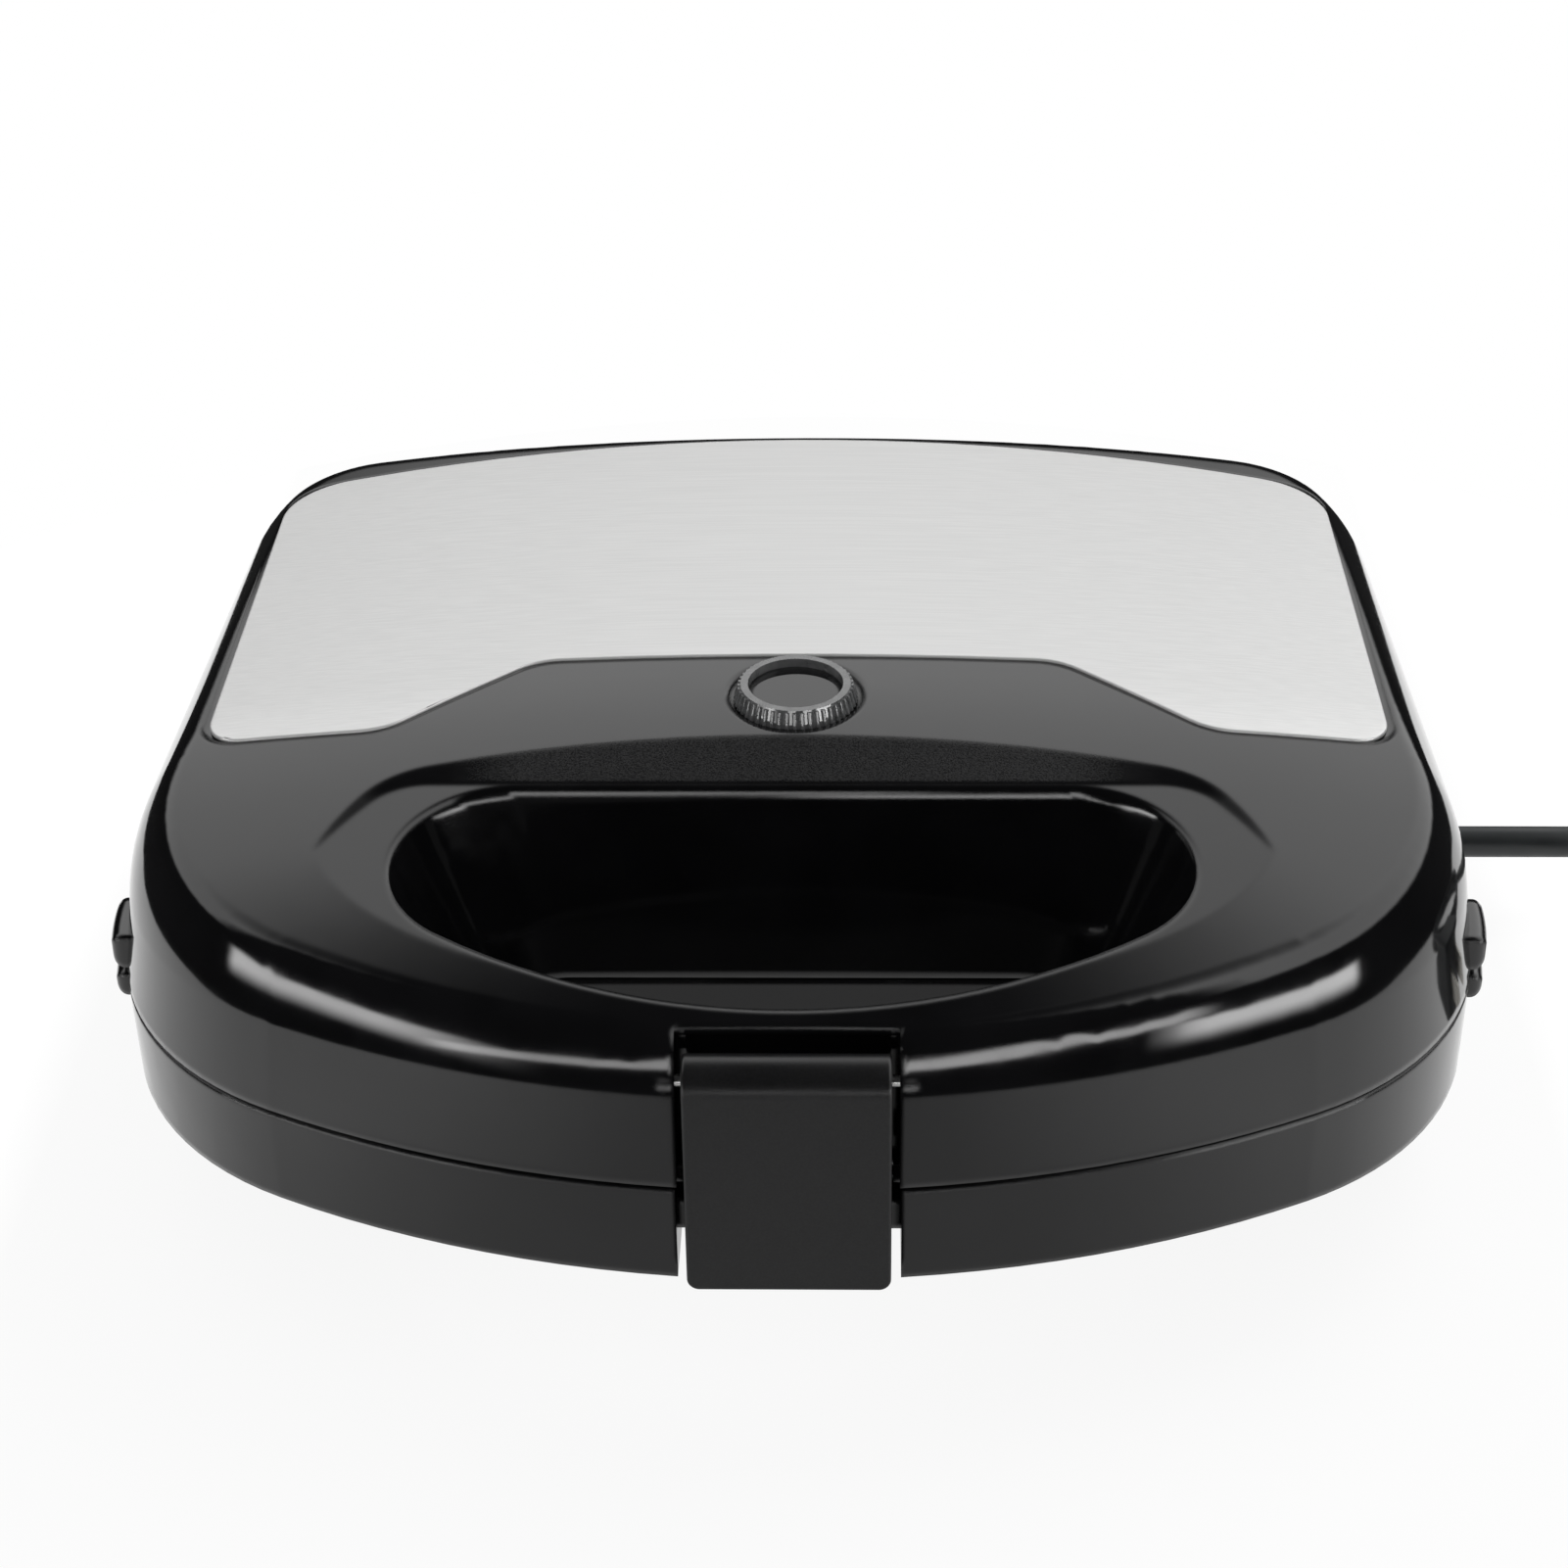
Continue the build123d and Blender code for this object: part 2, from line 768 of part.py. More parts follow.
with BuildPart() as lid_shell:
    add(lid_form(0.0))
    tops = lid_shell.faces().sort_by(Axis.Z)[-2:]
    rim = tops.edges().filter_by(lambda edge: edge.bounding_box().size.Y > 0.01)
    fillet(rim, lid_edge_radius)
    for side in sides.values():
        with Locations((side * hinge_spread, hinge_y - arm_reach / 2, hinge_z + arm_rise)):
            Box(knuckle_length, arm_reach, 2 * (knuckle_radius - arm_rise))
        add(hinge_barrel(side * hinge_spread, knuckle_length, knuckle_radius))
    add(grip_dish(), mode=Mode.SUBTRACT)
    add(lid_grip(), mode=Mode.SUBTRACT)
    add(lid_hollow.part, mode=Mode.SUBTRACT)
    add(latch_room, mode=Mode.SUBTRACT)
    add(latch_pocket, mode=Mode.SUBTRACT)
    add(panel_recess.part, mode=Mode.SUBTRACT)
    for side in sides.values():
        add(
            hinge_barrel(
                side * hinge_spread, knuckle_length, hinge_pin_radius + running_clearance
            ),
            mode=Mode.SUBTRACT,
        )
        add(
            button_box(side, parting, upper_high + button_gap, button_gap, button_seat_x + wall),
            mode=Mode.SUBTRACT,
        )
        with Locations(
            (
                side * (latch_recess_width - latch_stop_width) / 2,
                front + latch_stop_back + latch_stop_depth / 2,
                lid_floor + latch_stop_height / 2,
            )
        ):
            Box(latch_stop_width, latch_stop_depth, latch_stop_height)
    with BuildSketch(lamp_plane.offset(-lamp_seat_depth)):
        Circle(lamp_seat_radius)
    extrude(amount=lamp_seat_radius, mode=Mode.SUBTRACT)
    with BuildSketch(lamp_plane):
        Circle(lamp_stem_radius + lamp_fit)
    extrude(amount=-2 * wall, mode=Mode.SUBTRACT)
    with BuildSketch(Plane.YZ):
        with Locations((latch_y, latch_z)):
            Circle(latch_pin_radius)
    extrude(amount=latch_recess_width / 2 + wall, both=True, mode=Mode.SUBTRACT)
    add(
        bosses(tray_screws, tray_screw_radius, parting, tray_depth + tray_screw_length),
        mode=Mode.SUBTRACT,
    )
lid_shell.part.label = "lid_shell"
export_step(lid_shell.part, "parts/lid_shell.step")

with BuildPart() as lid_steel_panel:
    add(crowned_layer(-panel_sink, panel_thickness - panel_sink))
    add(prism(panel_outline()), mode=Mode.INTERSECT)
lid_steel_panel.part.label = "lid_steel_panel"
export_step(lid_steel_panel.part, "parts/lid_steel_panel.step")

# Front notch of the base, stepped round the catch bar
notch_bottom = grip_bottom - wall
with BuildPart() as notch:
    add(front_slot(latch_notch_width, notch_depth, notch_bottom, parting))
    add(front_slot(latch_notch_width, notch_low_depth, notch_bottom, parting - catch_low))
    with Locations(
        (0, front + (catch_front + notch_depth) / 2, parting - (catch_high + catch_low) / 2)
    ):
        Box(
            latch_notch_width, notch_depth - catch_front, catch_low - catch_high, mode=Mode.SUBTRACT
        )
notch_wall = front_slot(latch_notch_width + 2 * wall, notch_low_depth + wall, 0, parting)

# Hollow of the base: the inner form less the walls, ribs and bosses that stand in it
with BuildPart() as base_hollow:
    add(base_form(wall))
    add(base_grip(wall), mode=Mode.SUBTRACT)
    add(notch_wall, mode=Mode.SUBTRACT)
    add(bosses(tray_screws, boss_radius, 0, tray_bottom), mode=Mode.SUBTRACT)
    add(bosses(bezel_posts, boss_radius, 0, bezel_bottom), mode=Mode.SUBTRACT)
    for side in sides.values():
        add(button_seat(side, 0, lower_high), mode=Mode.SUBTRACT)

# Rear housing with the cable room inside it
housing_rear = hinge_y + knuckle_radius
housing_high = parting - housing_top
housing_front = rear - rear_corner_radius
with BuildPart() as housing:
    with BuildSketch(Plane.XY.offset(base_bottom)):
        with Locations((0, (housing_front + housing_rear) / 2)):
            Rectangle(housing_width, housing_rear - housing_front)
    extrude(amount=housing_high - base_bottom)
    corners = housing.edges().filter_by(Axis.Z).group_by(Axis.Y)[-1]
    fillet(corners, housing_edge_radius)
    fillet(housing.faces().sort_by(Axis.Z)[-1].edges(), housing_top_radius)

with BuildPart() as housing_room:
    with BuildSketch(Plane.XY.offset(base_bottom + wall)):
        with Locations((0, (housing_front + housing_rear) / 2 - wall)):
            Rectangle(housing_width - 2 * wall, housing_rear - housing_front)
    extrude(amount=housing_high - base_bottom - 2 * wall)
    add(bosses(bezel_posts, boss_radius, 0, bezel_bottom), mode=Mode.SUBTRACT)

# Cord outlet through the right wall
side_at_cord = side_x(cord_y) - (parting - cord_z) * tan(radians(base_draft))
cord_axis_y = front + cord_y
ear_offset = (knuckle_length + ear_length) / 2 + hinge_play
ears = [
    side * (hinge_spread + shift)
    for side in sides.values()
    for shift in (-ear_offset, ear_offset)
]

with BuildPart() as base_shell:
    add(base_form(0.0))
    add(housing.part)
    for x in ears:
        with Locations((x, hinge_y, (housing_high + hinge_z) / 2)):
            Box(ear_length, 2 * knuckle_radius, hinge_z - housing_high)
        add(hinge_barrel(x, ear_length, knuckle_radius))
        add(hinge_barrel(x, ear_length, hinge_pin_radius), mode=Mode.SUBTRACT)
    add(base_hollow.part, mode=Mode.SUBTRACT)
    add(housing_room.part, mode=Mode.SUBTRACT)
    add(base_grip(), mode=Mode.SUBTRACT)
    add(notch.part, mode=Mode.SUBTRACT)
    for side in sides.values():
        add(
            button_box(side, lower_low - button_gap, parting, button_gap, button_seat_x + wall),
            mode=Mode.SUBTRACT,
        )
    add(
        bosses(tray_screws, tray_screw_radius, tray_bottom - tray_screw_length, tray_depth),
        mode=Mode.SUBTRACT,
    )
    add(
        bosses(feet, foot_stem_radius + foot_stem_clearance, 0, base_bottom + 2 * wall),
        mode=Mode.SUBTRACT,
    )
    with BuildSketch():
        with Locations((0, front + vent_y)):
            with GridLocations(2 * vent_x, vent_pitch, 2, vent_rows):
                SlotOverall(vent_length, vent_width)
    extrude(amount=base_bottom + 2 * wall, mode=Mode.SUBTRACT)
    with BuildSketch(Plane.YZ.offset(side_at_cord - 3 * wall)):
        with Locations((cord_axis_y, cord_z)):
            Circle(relief_neck_radius + relief_clearance)
    extrude(amount=6 * wall, mode=Mode.SUBTRACT)
base_shell.part.label = "base_shell"
export_step(base_shell.part, "parts/base_shell.step")

# Hinge pins, pressed into the ears
with BuildPart() as hinge_pins:
    for side in sides.values():
        add(hinge_barrel(side * hinge_spread, 2 * ear_offset + ear_length, hinge_pin_radius))
hinge_pins.part.label = "hinge_pins"
export_step(hinge_pins.part, "parts/hinge_pins.step")

# Front latch with its hook under the catch bar
latch_low = parting - latch_bottom
hook_top = parting - catch_low - hook_gap
with BuildPart() as latch_nose:
    with BuildSketch(Plane.YZ):
        with Locations((nose_y, nose_z)):
            Circle(latch_nose_radius)
    extrude(amount=latch_width / 2, both=True)
    fillet(latch_nose.edges().filter_by(GeomType.CIRCLE), latch_edge_radius)

with BuildPart() as front_latch:
    with BuildSketch(Plane.XZ.offset(-latch_front)):
        with Locations((0, (latch_low + nose_z) / 2)):
            blade = Rectangle(latch_width, nose_z - latch_low)
        fillet(blade.vertices().group_by(Axis.Y)[0], latch_corner_radius)
    extrude(amount=-latch_thickness)
    face = front_latch.faces().sort_by(Axis.Y)[0]
    fillet(face.edges().sort_by(Axis.Z)[:-1], latch_edge_radius)
    add(latch_nose.part)
    with BuildSketch(Plane.YZ):
        with Locations((latch_y, latch_z)):
            Circle(latch_barrel_radius)
    extrude(amount=latch_width / 2 - latch_edge_radius, both=True)
    with BuildSketch(Plane.YZ):
        with Locations((latch_y, latch_z)):
            Circle(latch_pin_radius + running_clearance)
    extrude(amount=latch_width / 2, both=True, mode=Mode.SUBTRACT)
    hook_length = front + hook_reach - latch_front - latch_thickness
    hook_y = latch_front + latch_thickness + hook_length / 2
    with Locations((0, hook_y, hook_top - hook_height / 2)):
        Box(latch_width - 2 * hook_side, hook_length, hook_height)
front_latch.part.label = "front_latch"
export_step(front_latch.part, "parts/front_latch.step")

with BuildPart() as latch_pin:
    with BuildSketch(Plane.YZ):
        with Locations((latch_y, latch_z)):
            Circle(latch_pin_radius)
    extrude(amount=latch_recess_width / 2 + wall, both=True)
latch_pin.part.label = "latch_pin"
export_step(latch_pin.part, "parts/latch_pin.step")


def tray_outline(height, grow):
    """Rounded outline of the tray's inside, grown or drawn in."""
    with BuildSketch(Plane.XY.offset(height)) as outline:
        with Locations((0, plate_middle)):
            RectangleRounded(
                tray_inner_width + 2 * grow, tray_inner_length + 2 * grow, tray_inner_radius + grow
            )
    return outline.sketch


def bezel(draft, slot_width, slot_depth):
    """Frame that closes a shell round the heater tray, as it lies in the base."""
    lean = (bezel_sink + bezel_thickness) * tan(radians(draft))
    opening = grip_section(
        level(bezel_bottom),
        grip_front,
        grip_rear,
        grip_front_radius,
        grip_corner_radius,
        wall + bezel_clearance + base_grip_flare / 2,
    )
    with BuildPart() as frame:
        add(body_outline(bezel_bottom, wall + lean + bezel_clearance))
        extrude(amount=bezel_thickness)
        add(tray_outline(bezel_bottom, 0.0))
        add(opening)
        extrude(amount=bezel_thickness, mode=Mode.SUBTRACT)
        add(front_slot(slot_width, slot_depth, 0, 2 * parting), mode=Mode.SUBTRACT)
        for side in sides.values():
            add(
                button_box(
                    side,
                    0,
                    2 * parting,
                    button_flange_grow + bezel_clearance,
                    button_seat_x - bezel_clearance,
                ),
                mode=Mode.SUBTRACT,
            )
    return frame.part


# Heating element: a bent rod that lies in saddles on the tray's floor
element_z = tray_floor + element_lift + element_radius
element_front = plate_middle - tray_inner_length / 2 + element_front_inset
element_end = tray_rear + tray_sheet + element_tail
with BuildPart() as lower_heating_element:
    with BuildLine() as element_line:
        FilletPolyline(
            (-element_half_width, element_end, element_z),
            (-element_half_width, element_front, element_z),
            (element_half_width, element_front, element_z),
            (element_half_width, element_end, element_z),
            radius=element_bend,
        )
    with BuildSketch(Plane(origin=element_line.line @ 0, z_dir=element_line.line % 0)):
        Circle(element_radius)
    sweep()
lower_heating_element.part.label = "lower_heating_element"
export_step(lower_heating_element.part, "parts/lower_heating_element.step")

# Heater tray: a pressed sheet tub with a flange under the bezel
with BuildPart() as lower_heater_tray:
    add(tray_outline(tray_bottom, tray_sheet))
    extrude(amount=bezel_bottom - tray_bottom)
    add(tray_outline(bezel_bottom - tray_sheet, tray_flange))
    extrude(amount=tray_sheet)
    add(tray_outline(tray_floor, 0.0))
    extrude(amount=tray_depth, mode=Mode.SUBTRACT)
    for x in (-element_half_width, element_half_width):
        with Locations((x, plate_middle, (tray_floor + element_z) / 2)):
            Box(saddle_width, saddle_length, element_z - tray_floor)
    with Locations((0, element_front, (tray_floor + element_z) / 2)):
        Box(saddle_length, saddle_width, element_z - tray_floor)
    add(lower_heating_element.part, mode=Mode.SUBTRACT)
    add(bosses(tray_screws, tray_screw_radius, 0, parting), mode=Mode.SUBTRACT)
    for side in sides.values():
        add(
            button_box(side, 0, parting, button_flange_grow, button_seat_x - bezel_clearance),
            mode=Mode.SUBTRACT,
        )
lower_heater_tray.part.label = "lower_heater_tray"
export_step(lower_heater_tray.part, "parts/lower_heater_tray.step")

# Screws that hold the tray down on the shell's bosses
with BuildPart() as lower_tray_screws:
    add(bosses(tray_screws, tray_screw_head_radius, tray_floor, tray_screw_head))
    add(
        bosses(
            tray_screws,
            tray_screw_radius,
            tray_bottom - tray_screw_length,
            tray_screw_length + tray_sheet,
        )
    )
lower_tray_screws.part.label = "lower_tray_screws"
export_step(lower_tray_screws.part, "parts/lower_tray_screws.step")

# Donut plate: six ring-shaped cups in a cast sheet that stands on posts
ring_outer = ring_tube_radius + plate_thickness
post_inner_x = ring_pitch_x / 2
plate_posts = [
    (side * x, plate_middle) for side in sides.values() for x in (post_inner_x, plate_post_outer_x)
]
with BuildPart() as lower_donut_plate:
    with Locations((0, plate_middle, plate_face)):
        with GridLocations(ring_pitch_x, ring_pitch_y, ring_columns, ring_rows):
            Torus(ring_mean_radius, ring_outer)
    with Locations((0, plate_middle, plate_face + far / 2)):
        Box(far, far, far, mode=Mode.SUBTRACT)
    with BuildSketch(Plane.XY.offset(plate_under)):
        with Locations((0, plate_middle)):
            RectangleRounded(plate_width, plate_depth, plate_corner_radius)
    extrude(amount=plate_thickness)
    with Locations((0, plate_middle, plate_face)):
        with GridLocations(ring_pitch_x, ring_pitch_y, ring_columns, ring_rows):
            Torus(ring_mean_radius, ring_tube_radius, mode=Mode.SUBTRACT)
    add(bosses(plate_posts, plate_post_radius, tray_floor, plate_under - tray_floor))
lower_donut_plate.part.label = "lower_donut_plate"
export_step(lower_donut_plate.part, "parts/lower_donut_plate.step")

slot_width = latch_notch_width + 2 * wall + 2 * bezel_clearance
slot_depth = notch_low_depth + wall + bezel_clearance
lower_frame = bezel(base_draft, slot_width, slot_depth)
upper_frame = bezel(lid_draft, slot_width, slot_depth)

with BuildPart() as lower_bezel:
    add(lower_frame)
lower_bezel.part.label = "lower_bezel"
export_step(lower_bezel.part, "parts/lower_bezel.step")

# The lid holds the same heater parts, turned over
with BuildPart() as upper_bezel:
    mirror(upper_frame, about=mirror_plane)
upper_bezel.part.label = "upper_bezel"
export_step(upper_bezel.part, "parts/upper_bezel.step")

with BuildPart() as upper_heater_tray:
    mirror(lower_heater_tray.part, about=mirror_plane)
upper_heater_tray.part.label = "upper_heater_tray"
export_step(upper_heater_tray.part, "parts/upper_heater_tray.step")

with BuildPart() as upper_heating_element:
    mirror(lower_heating_element.part, about=mirror_plane)
upper_heating_element.part.label = "upper_heating_element"
export_step(upper_heating_element.part, "parts/upper_heating_element.step")

with BuildPart() as upper_donut_plate:
    mirror(lower_donut_plate.part, about=mirror_plane)
upper_donut_plate.part.label = "upper_donut_plate"
export_step(upper_donut_plate.part, "parts/upper_donut_plate.step")

with BuildPart() as upper_tray_screws:
    mirror(lower_tray_screws.part, about=mirror_plane)
upper_tray_screws.part.label = "upper_tray_screws"
export_step(upper_tray_screws.part, "parts/upper_tray_screws.step")

# Plate release buttons and their springs
for name, side in sides.items():
    upper_button = release_button(
        side, upper_low, upper_high, lid_draft, upper_low, upper_flange_high
    )
    upper_button.label = f"upper_{name}_button"
    export_step(upper_button, f"parts/upper_{name}_button.step")
    lower_button = release_button(
        side, lower_low, lower_high, base_draft, lower_flange_low, lower_high
    )
    lower_button.label = f"lower_{name}_button"
    export_step(lower_button, f"parts/lower_{name}_button.step")
    upper_spring = button_spring(
        side, (upper_low + upper_high) / 2, spring_end(upper_flange_high - parting, lid_draft)
    )
    upper_spring.label = f"upper_{name}_spring"
    export_step(upper_spring, f"parts/upper_{name}_spring.step")
    lower_spring = button_spring(
        side, (lower_low + lower_high) / 2, spring_end(parting - lower_flange_low, base_draft)
    )
    lower_spring.label = f"lower_{name}_spring"
    export_step(lower_spring, f"parts/lower_{name}_spring.step")

# Rubber feet on stems through the base's floor
with BuildPart() as rubber_feet:
    with BuildSketch(Plane.XY.offset(base_bottom)):
        with Locations(*feet):
            Circle(foot_radius)
    extrude(amount=foot_height, dir=(0, 0, -1), taper=foot_taper)
    add(bosses(feet, foot_stem_radius, base_bottom, foot_stem_length))
rubber_feet.part.label = "rubber_feet"
export_step(rubber_feet.part, "parts/rubber_feet.step")

# Indicator: a ribbed clear ring, a cap in its bore, and the lamp board below
ring_base = -lamp_seat_depth
ring_top = ring_base + lamp_ring_height
rib_foot = ring_base + lamp_rib_start
slope = Vector(lamp_ring_top_radius - lamp_ring_radius, 0, ring_top - rib_foot)
with BuildPart() as lamp_rib:
    with BuildSketch(Plane(origin=(lamp_ring_radius, 0, rib_foot), z_dir=slope)):
        Circle(lamp_rib_radius)
    extrude(amount=slope.length - lamp_rib_radius)

with BuildPart() as lamp_ring:
    with BuildSketch(Plane.XZ):
        with BuildLine():
            Polyline(
                (lamp_stem_bore, ring_base - lamp_stem_length),
                (lamp_stem_radius, ring_base - lamp_stem_length),
                (lamp_stem_radius, ring_base),
                (lamp_ring_radius, ring_base),
                (lamp_ring_radius, rib_foot),
                (lamp_ring_top_radius, ring_top),
                (lamp_ring_bore, ring_top),
                (lamp_ring_bore, ring_base),
                (lamp_stem_bore, ring_base),
                close=True,
            )
        make_face()
    revolve(axis=Axis.Z)
    with PolarLocations(0, lamp_rib_count):
        add(lamp_rib.part)

with BuildPart() as indicator_lens:
    with Locations(lamp_plane):
        add(lamp_ring.part)
indicator_lens.part.label = "indicator_lens"
export_step(indicator_lens.part, "parts/indicator_lens.step")

with BuildPart() as indicator_cap:
    with BuildSketch(lamp_plane.offset(ring_base)):
        Circle(lamp_ring_bore - lamp_fit)
    extrude(amount=lamp_ring_height - lamp_cap_drop)
indicator_cap.part.label = "indicator_cap"
export_step(indicator_cap.part, "parts/indicator_cap.step")

board_plane = lamp_plane.offset(ring_base - lamp_stem_length)
with BuildPart() as lamp_board:
    with BuildSketch(board_plane):
        Rectangle(lamp_board_width, lamp_board_depth)
    extrude(amount=-lamp_board_thickness)
lamp_board.part.label = "lamp_board"
export_step(lamp_board.part, "parts/lamp_board.step")

with BuildPart() as indicator_led:
    with BuildSketch(board_plane):
        Circle(led_radius)
    extrude(amount=led_height)
    fillet(indicator_led.faces().sort_by(Axis.Z)[-1].edges(), led_radius / 2)
indicator_led.part.label = "indicator_led"
export_step(indicator_led.part, "parts/indicator_led.step")

# Thermostat and thermal fuse on the back of the lid's heater tray
tray_back = parting + tray_depth
with BuildPart() as thermostat_bracket:
    with BuildSketch(Plane.XY.offset(tray_back)):
        with Locations((0, plate_middle)):
            SlotOverall(bracket_length, bracket_width)
    extrude(amount=bracket_thickness)
thermostat_bracket.part.label = "thermostat_bracket"
export_step(thermostat_bracket.part, "parts/thermostat_bracket.step")

with BuildPart() as thermostat:
    with BuildSketch(Plane.XY.offset(tray_back + bracket_thickness)):
        with Locations((0, plate_middle)):
            Circle(thermostat_radius)
    extrude(amount=thermostat_height)
    with BuildSketch(Plane.XY.offset(tray_back + bracket_thickness + thermostat_height)):
        with Locations((0, plate_middle)):
            with GridLocations(blade_pitch, 0, 2, 1):
                Rectangle(blade_thickness, blade_width)
    extrude(amount=blade_height)
thermostat.part.label = "thermostat"
export_step(thermostat.part, "parts/thermostat.step")

with BuildPart() as thermal_fuse:
    with BuildSketch(Plane.YZ):
        with Locations((plate_middle + fuse_y, tray_back + fuse_radius)):
            Circle(fuse_radius)
    extrude(amount=fuse_length / 2, both=True)
    with BuildSketch(Plane.YZ):
        with Locations((plate_middle + fuse_y, tray_back + fuse_radius)):
            Circle(fuse_lead_radius)
    extrude(amount=fuse_length / 2 + fuse_lead_length, both=True)
thermal_fuse.part.label = "thermal_fuse"
export_step(thermal_fuse.part, "parts/thermal_fuse.step")

# Terminal block on the base's floor beside the cord outlet
block_floor = base_bottom + wall
with BuildPart() as terminal_block:
    with BuildSketch(Plane.XY.offset(block_floor)):
        with Locations((block_x, cord_axis_y)):
            Rectangle(block_width, block_length)
    extrude(amount=block_height)
    with BuildSketch(Plane.XY.offset(block_floor + block_height)):
        with Locations((block_x, cord_axis_y)):
            with GridLocations(0, block_length / block_ways, 1, block_ways):
                Circle(block_screw_radius)
    extrude(amount=-block_screw_depth, mode=Mode.SUBTRACT)
terminal_block.part.label = "terminal_block"
export_step(terminal_block.part, "parts/terminal_block.step")

# Strain relief: a grommet in the wall with a tapered boot
wall_outside = side_at_cord + relief_clearance
wall_inside = side_at_cord - wall - relief_clearance
with BuildPart() as strain_relief:
    with BuildSketch(Plane.XY.offset(cord_z)):
        with BuildLine():
            Polyline(
                (wall_inside - relief_flange, cord_axis_y),
                (wall_inside - relief_flange, cord_axis_y + relief_flange_radius),
                (wall_inside, cord_axis_y + relief_flange_radius),
                (wall_inside, cord_axis_y + relief_neck_radius),
                (wall_outside, cord_axis_y + relief_neck_radius),
                (wall_outside, cord_axis_y + relief_flange_radius),
                (wall_outside + relief_flange, cord_axis_y + relief_flange_radius),
                (wall_outside + relief_flange, cord_axis_y + relief_root_radius),
                (cord_start_x, cord_axis_y + relief_tip_radius),
                (cord_start_x, cord_axis_y),
                close=True,
            )
        make_face()
    revolve(axis=Axis((0, cord_axis_y, cord_z), (1, 0, 0)))
strain_relief.part.label = "strain_relief"
export_step(strain_relief.part, "parts/strain_relief.step")

# Cord from the strain relief down to the table and on to its coil
coil_z = cord_diameter / 2 + coil_lift
coil_start_x = coil_x - cord_diameter
coil_y = cord_axis_y + coil_shift
cord_points = [
    (cord_start_x, cord_axis_y, cord_z),
    (cord_start_x + cord_straight, cord_axis_y, cord_z),
    *[
        (cord_start_x + reach, cord_axis_y + shift, cord_z - drop)
        for reach, shift, drop in cord_fall
    ],
    (coil_x - cord_rest, coil_y, coil_z),
    (coil_start_x, coil_y, coil_z),
]
cord_radii = []
for before, point, after in zip(cord_points, cord_points[1:], cord_points[2:]):
    run_in = Vector(point) - Vector(before)
    run_out = Vector(after) - Vector(point)
    half_turn = radians(run_in.get_angle(run_out)) / 2
    cord_radii.append(cord_bend_share * min(run_in.length, run_out.length) / tan(half_turn))
print("cord radii", [round(radius, 1) for radius in cord_radii])

with BuildPart() as power_cord:
    with BuildLine() as cord_line:
        FilletPolyline(*cord_points, radius=cord_radii)
    with BuildSketch(Plane(origin=cord_line.line @ 0, z_dir=cord_line.line % 0)):
        Circle(cord_diameter / 2)
    sweep()
power_cord.part.label = "power_cord"
export_step(power_cord.part, "parts/power_cord.step")
cord_section = pi * cord_diameter**2 / 4
cord_length = cord_line.wire().length
print("cord volume", power_cord.part.volume, "expected", cord_section * cord_length)

# Coil of the spare cord: two layers of half turns that spiral in, climb, and spiral out again
coil_step = cord_diameter + coil_gap
coil_high = coil_z + coil_step
half_turns = [0, 1, 2, 1, 0]
climb = 2
turn_y = coil_y
turn_z = coil_z
heading = 1
coil_marks = []
for index, step in enumerate(half_turns):
    radius = coil_outer_radius - step * coil_step / 2
    next_y = turn_y - heading * 2 * radius
    next_z = coil_high if index >= climb else coil_z
    rise = next_z - turn_z
    reach = sqrt(radius**2 + rise**2 / 4)
    start = (coil_x, turn_y, turn_z)
    middle = (coil_x + heading * reach, (turn_y + next_y) / 2, (turn_z + next_z) / 2)
    coil_marks.append((heading, start, middle, (coil_x, next_y, next_z)))
    turn_y = next_y
    turn_z = next_z
    heading = -heading

with BuildPart() as cord_coil:
    with BuildLine() as coil_line:
        Line((coil_start_x, coil_y, coil_z), (coil_x, coil_y, coil_z))
        for heading, start, middle, end in coil_marks:
            first = TangentArc(start, middle, tangent=(heading, 0, 0))
            TangentArc(middle, end, tangent=first % 1)
        Line((coil_x, turn_y, turn_z), (coil_x - plug_sleeve_start, turn_y, turn_z))
    with BuildSketch(Plane(origin=(coil_start_x, coil_y, coil_z), z_dir=(1, 0, 0))):
        Circle(cord_diameter / 2)
    sweep()
cord_coil.part.label = "cord_coil"
export_step(cord_coil.part, "parts/cord_coil.step")

coil_wire = coil_line.wire()
coil_length = coil_wire.length
print("coil volume", cord_coil.part.volume, "expected", cord_section * coil_length)
print("cord and coil length", cord_length + coil_length)
samples = 360
apart = int(samples * 4 * cord_diameter / coil_length)
points = [coil_wire @ (index / samples) for index in range(samples + 1)]
nearest = min(
    (points[i] - points[j]).length for i in range(samples) for j in range(i + apart, samples + 1)
)
print("least gap of the coil to itself", nearest - cord_diameter)

# Tie round both layers, on the side of the coil that faces the body
tie_y = (coil_y + turn_y) / 2
tie_reach = coil_outer_radius - coil_step / 2
tie_x = coil_x - sqrt(tie_reach**2 - (coil_outer_radius - tie_reach) ** 2)
tie_room = cord_diameter / 2 + tie_clearance
tie_half_width = tie_room + tie_clearance
tie_low = coil_z - tie_room - tie_thickness
tie_high = coil_high + tie_room + tie_thickness
with BuildPart() as cord_tie:
    with BuildSketch(Plane.XZ.offset(-tie_y)):
        with Locations((tie_x, (tie_low + tie_high) / 2)):
            RectangleRounded(
                2 * (tie_half_width + tie_thickness), tie_high - tie_low, tie_half_width
            )
            RectangleRounded(
                2 * tie_half_width,
                tie_high - tie_low - 2 * tie_thickness,
                tie_half_width - tie_thickness,
                mode=Mode.SUBTRACT,
            )
    extrude(amount=tie_width / 2, both=True)
cord_tie.part.label = "cord_tie"
export_step(cord_tie.part, "parts/cord_tie.step")

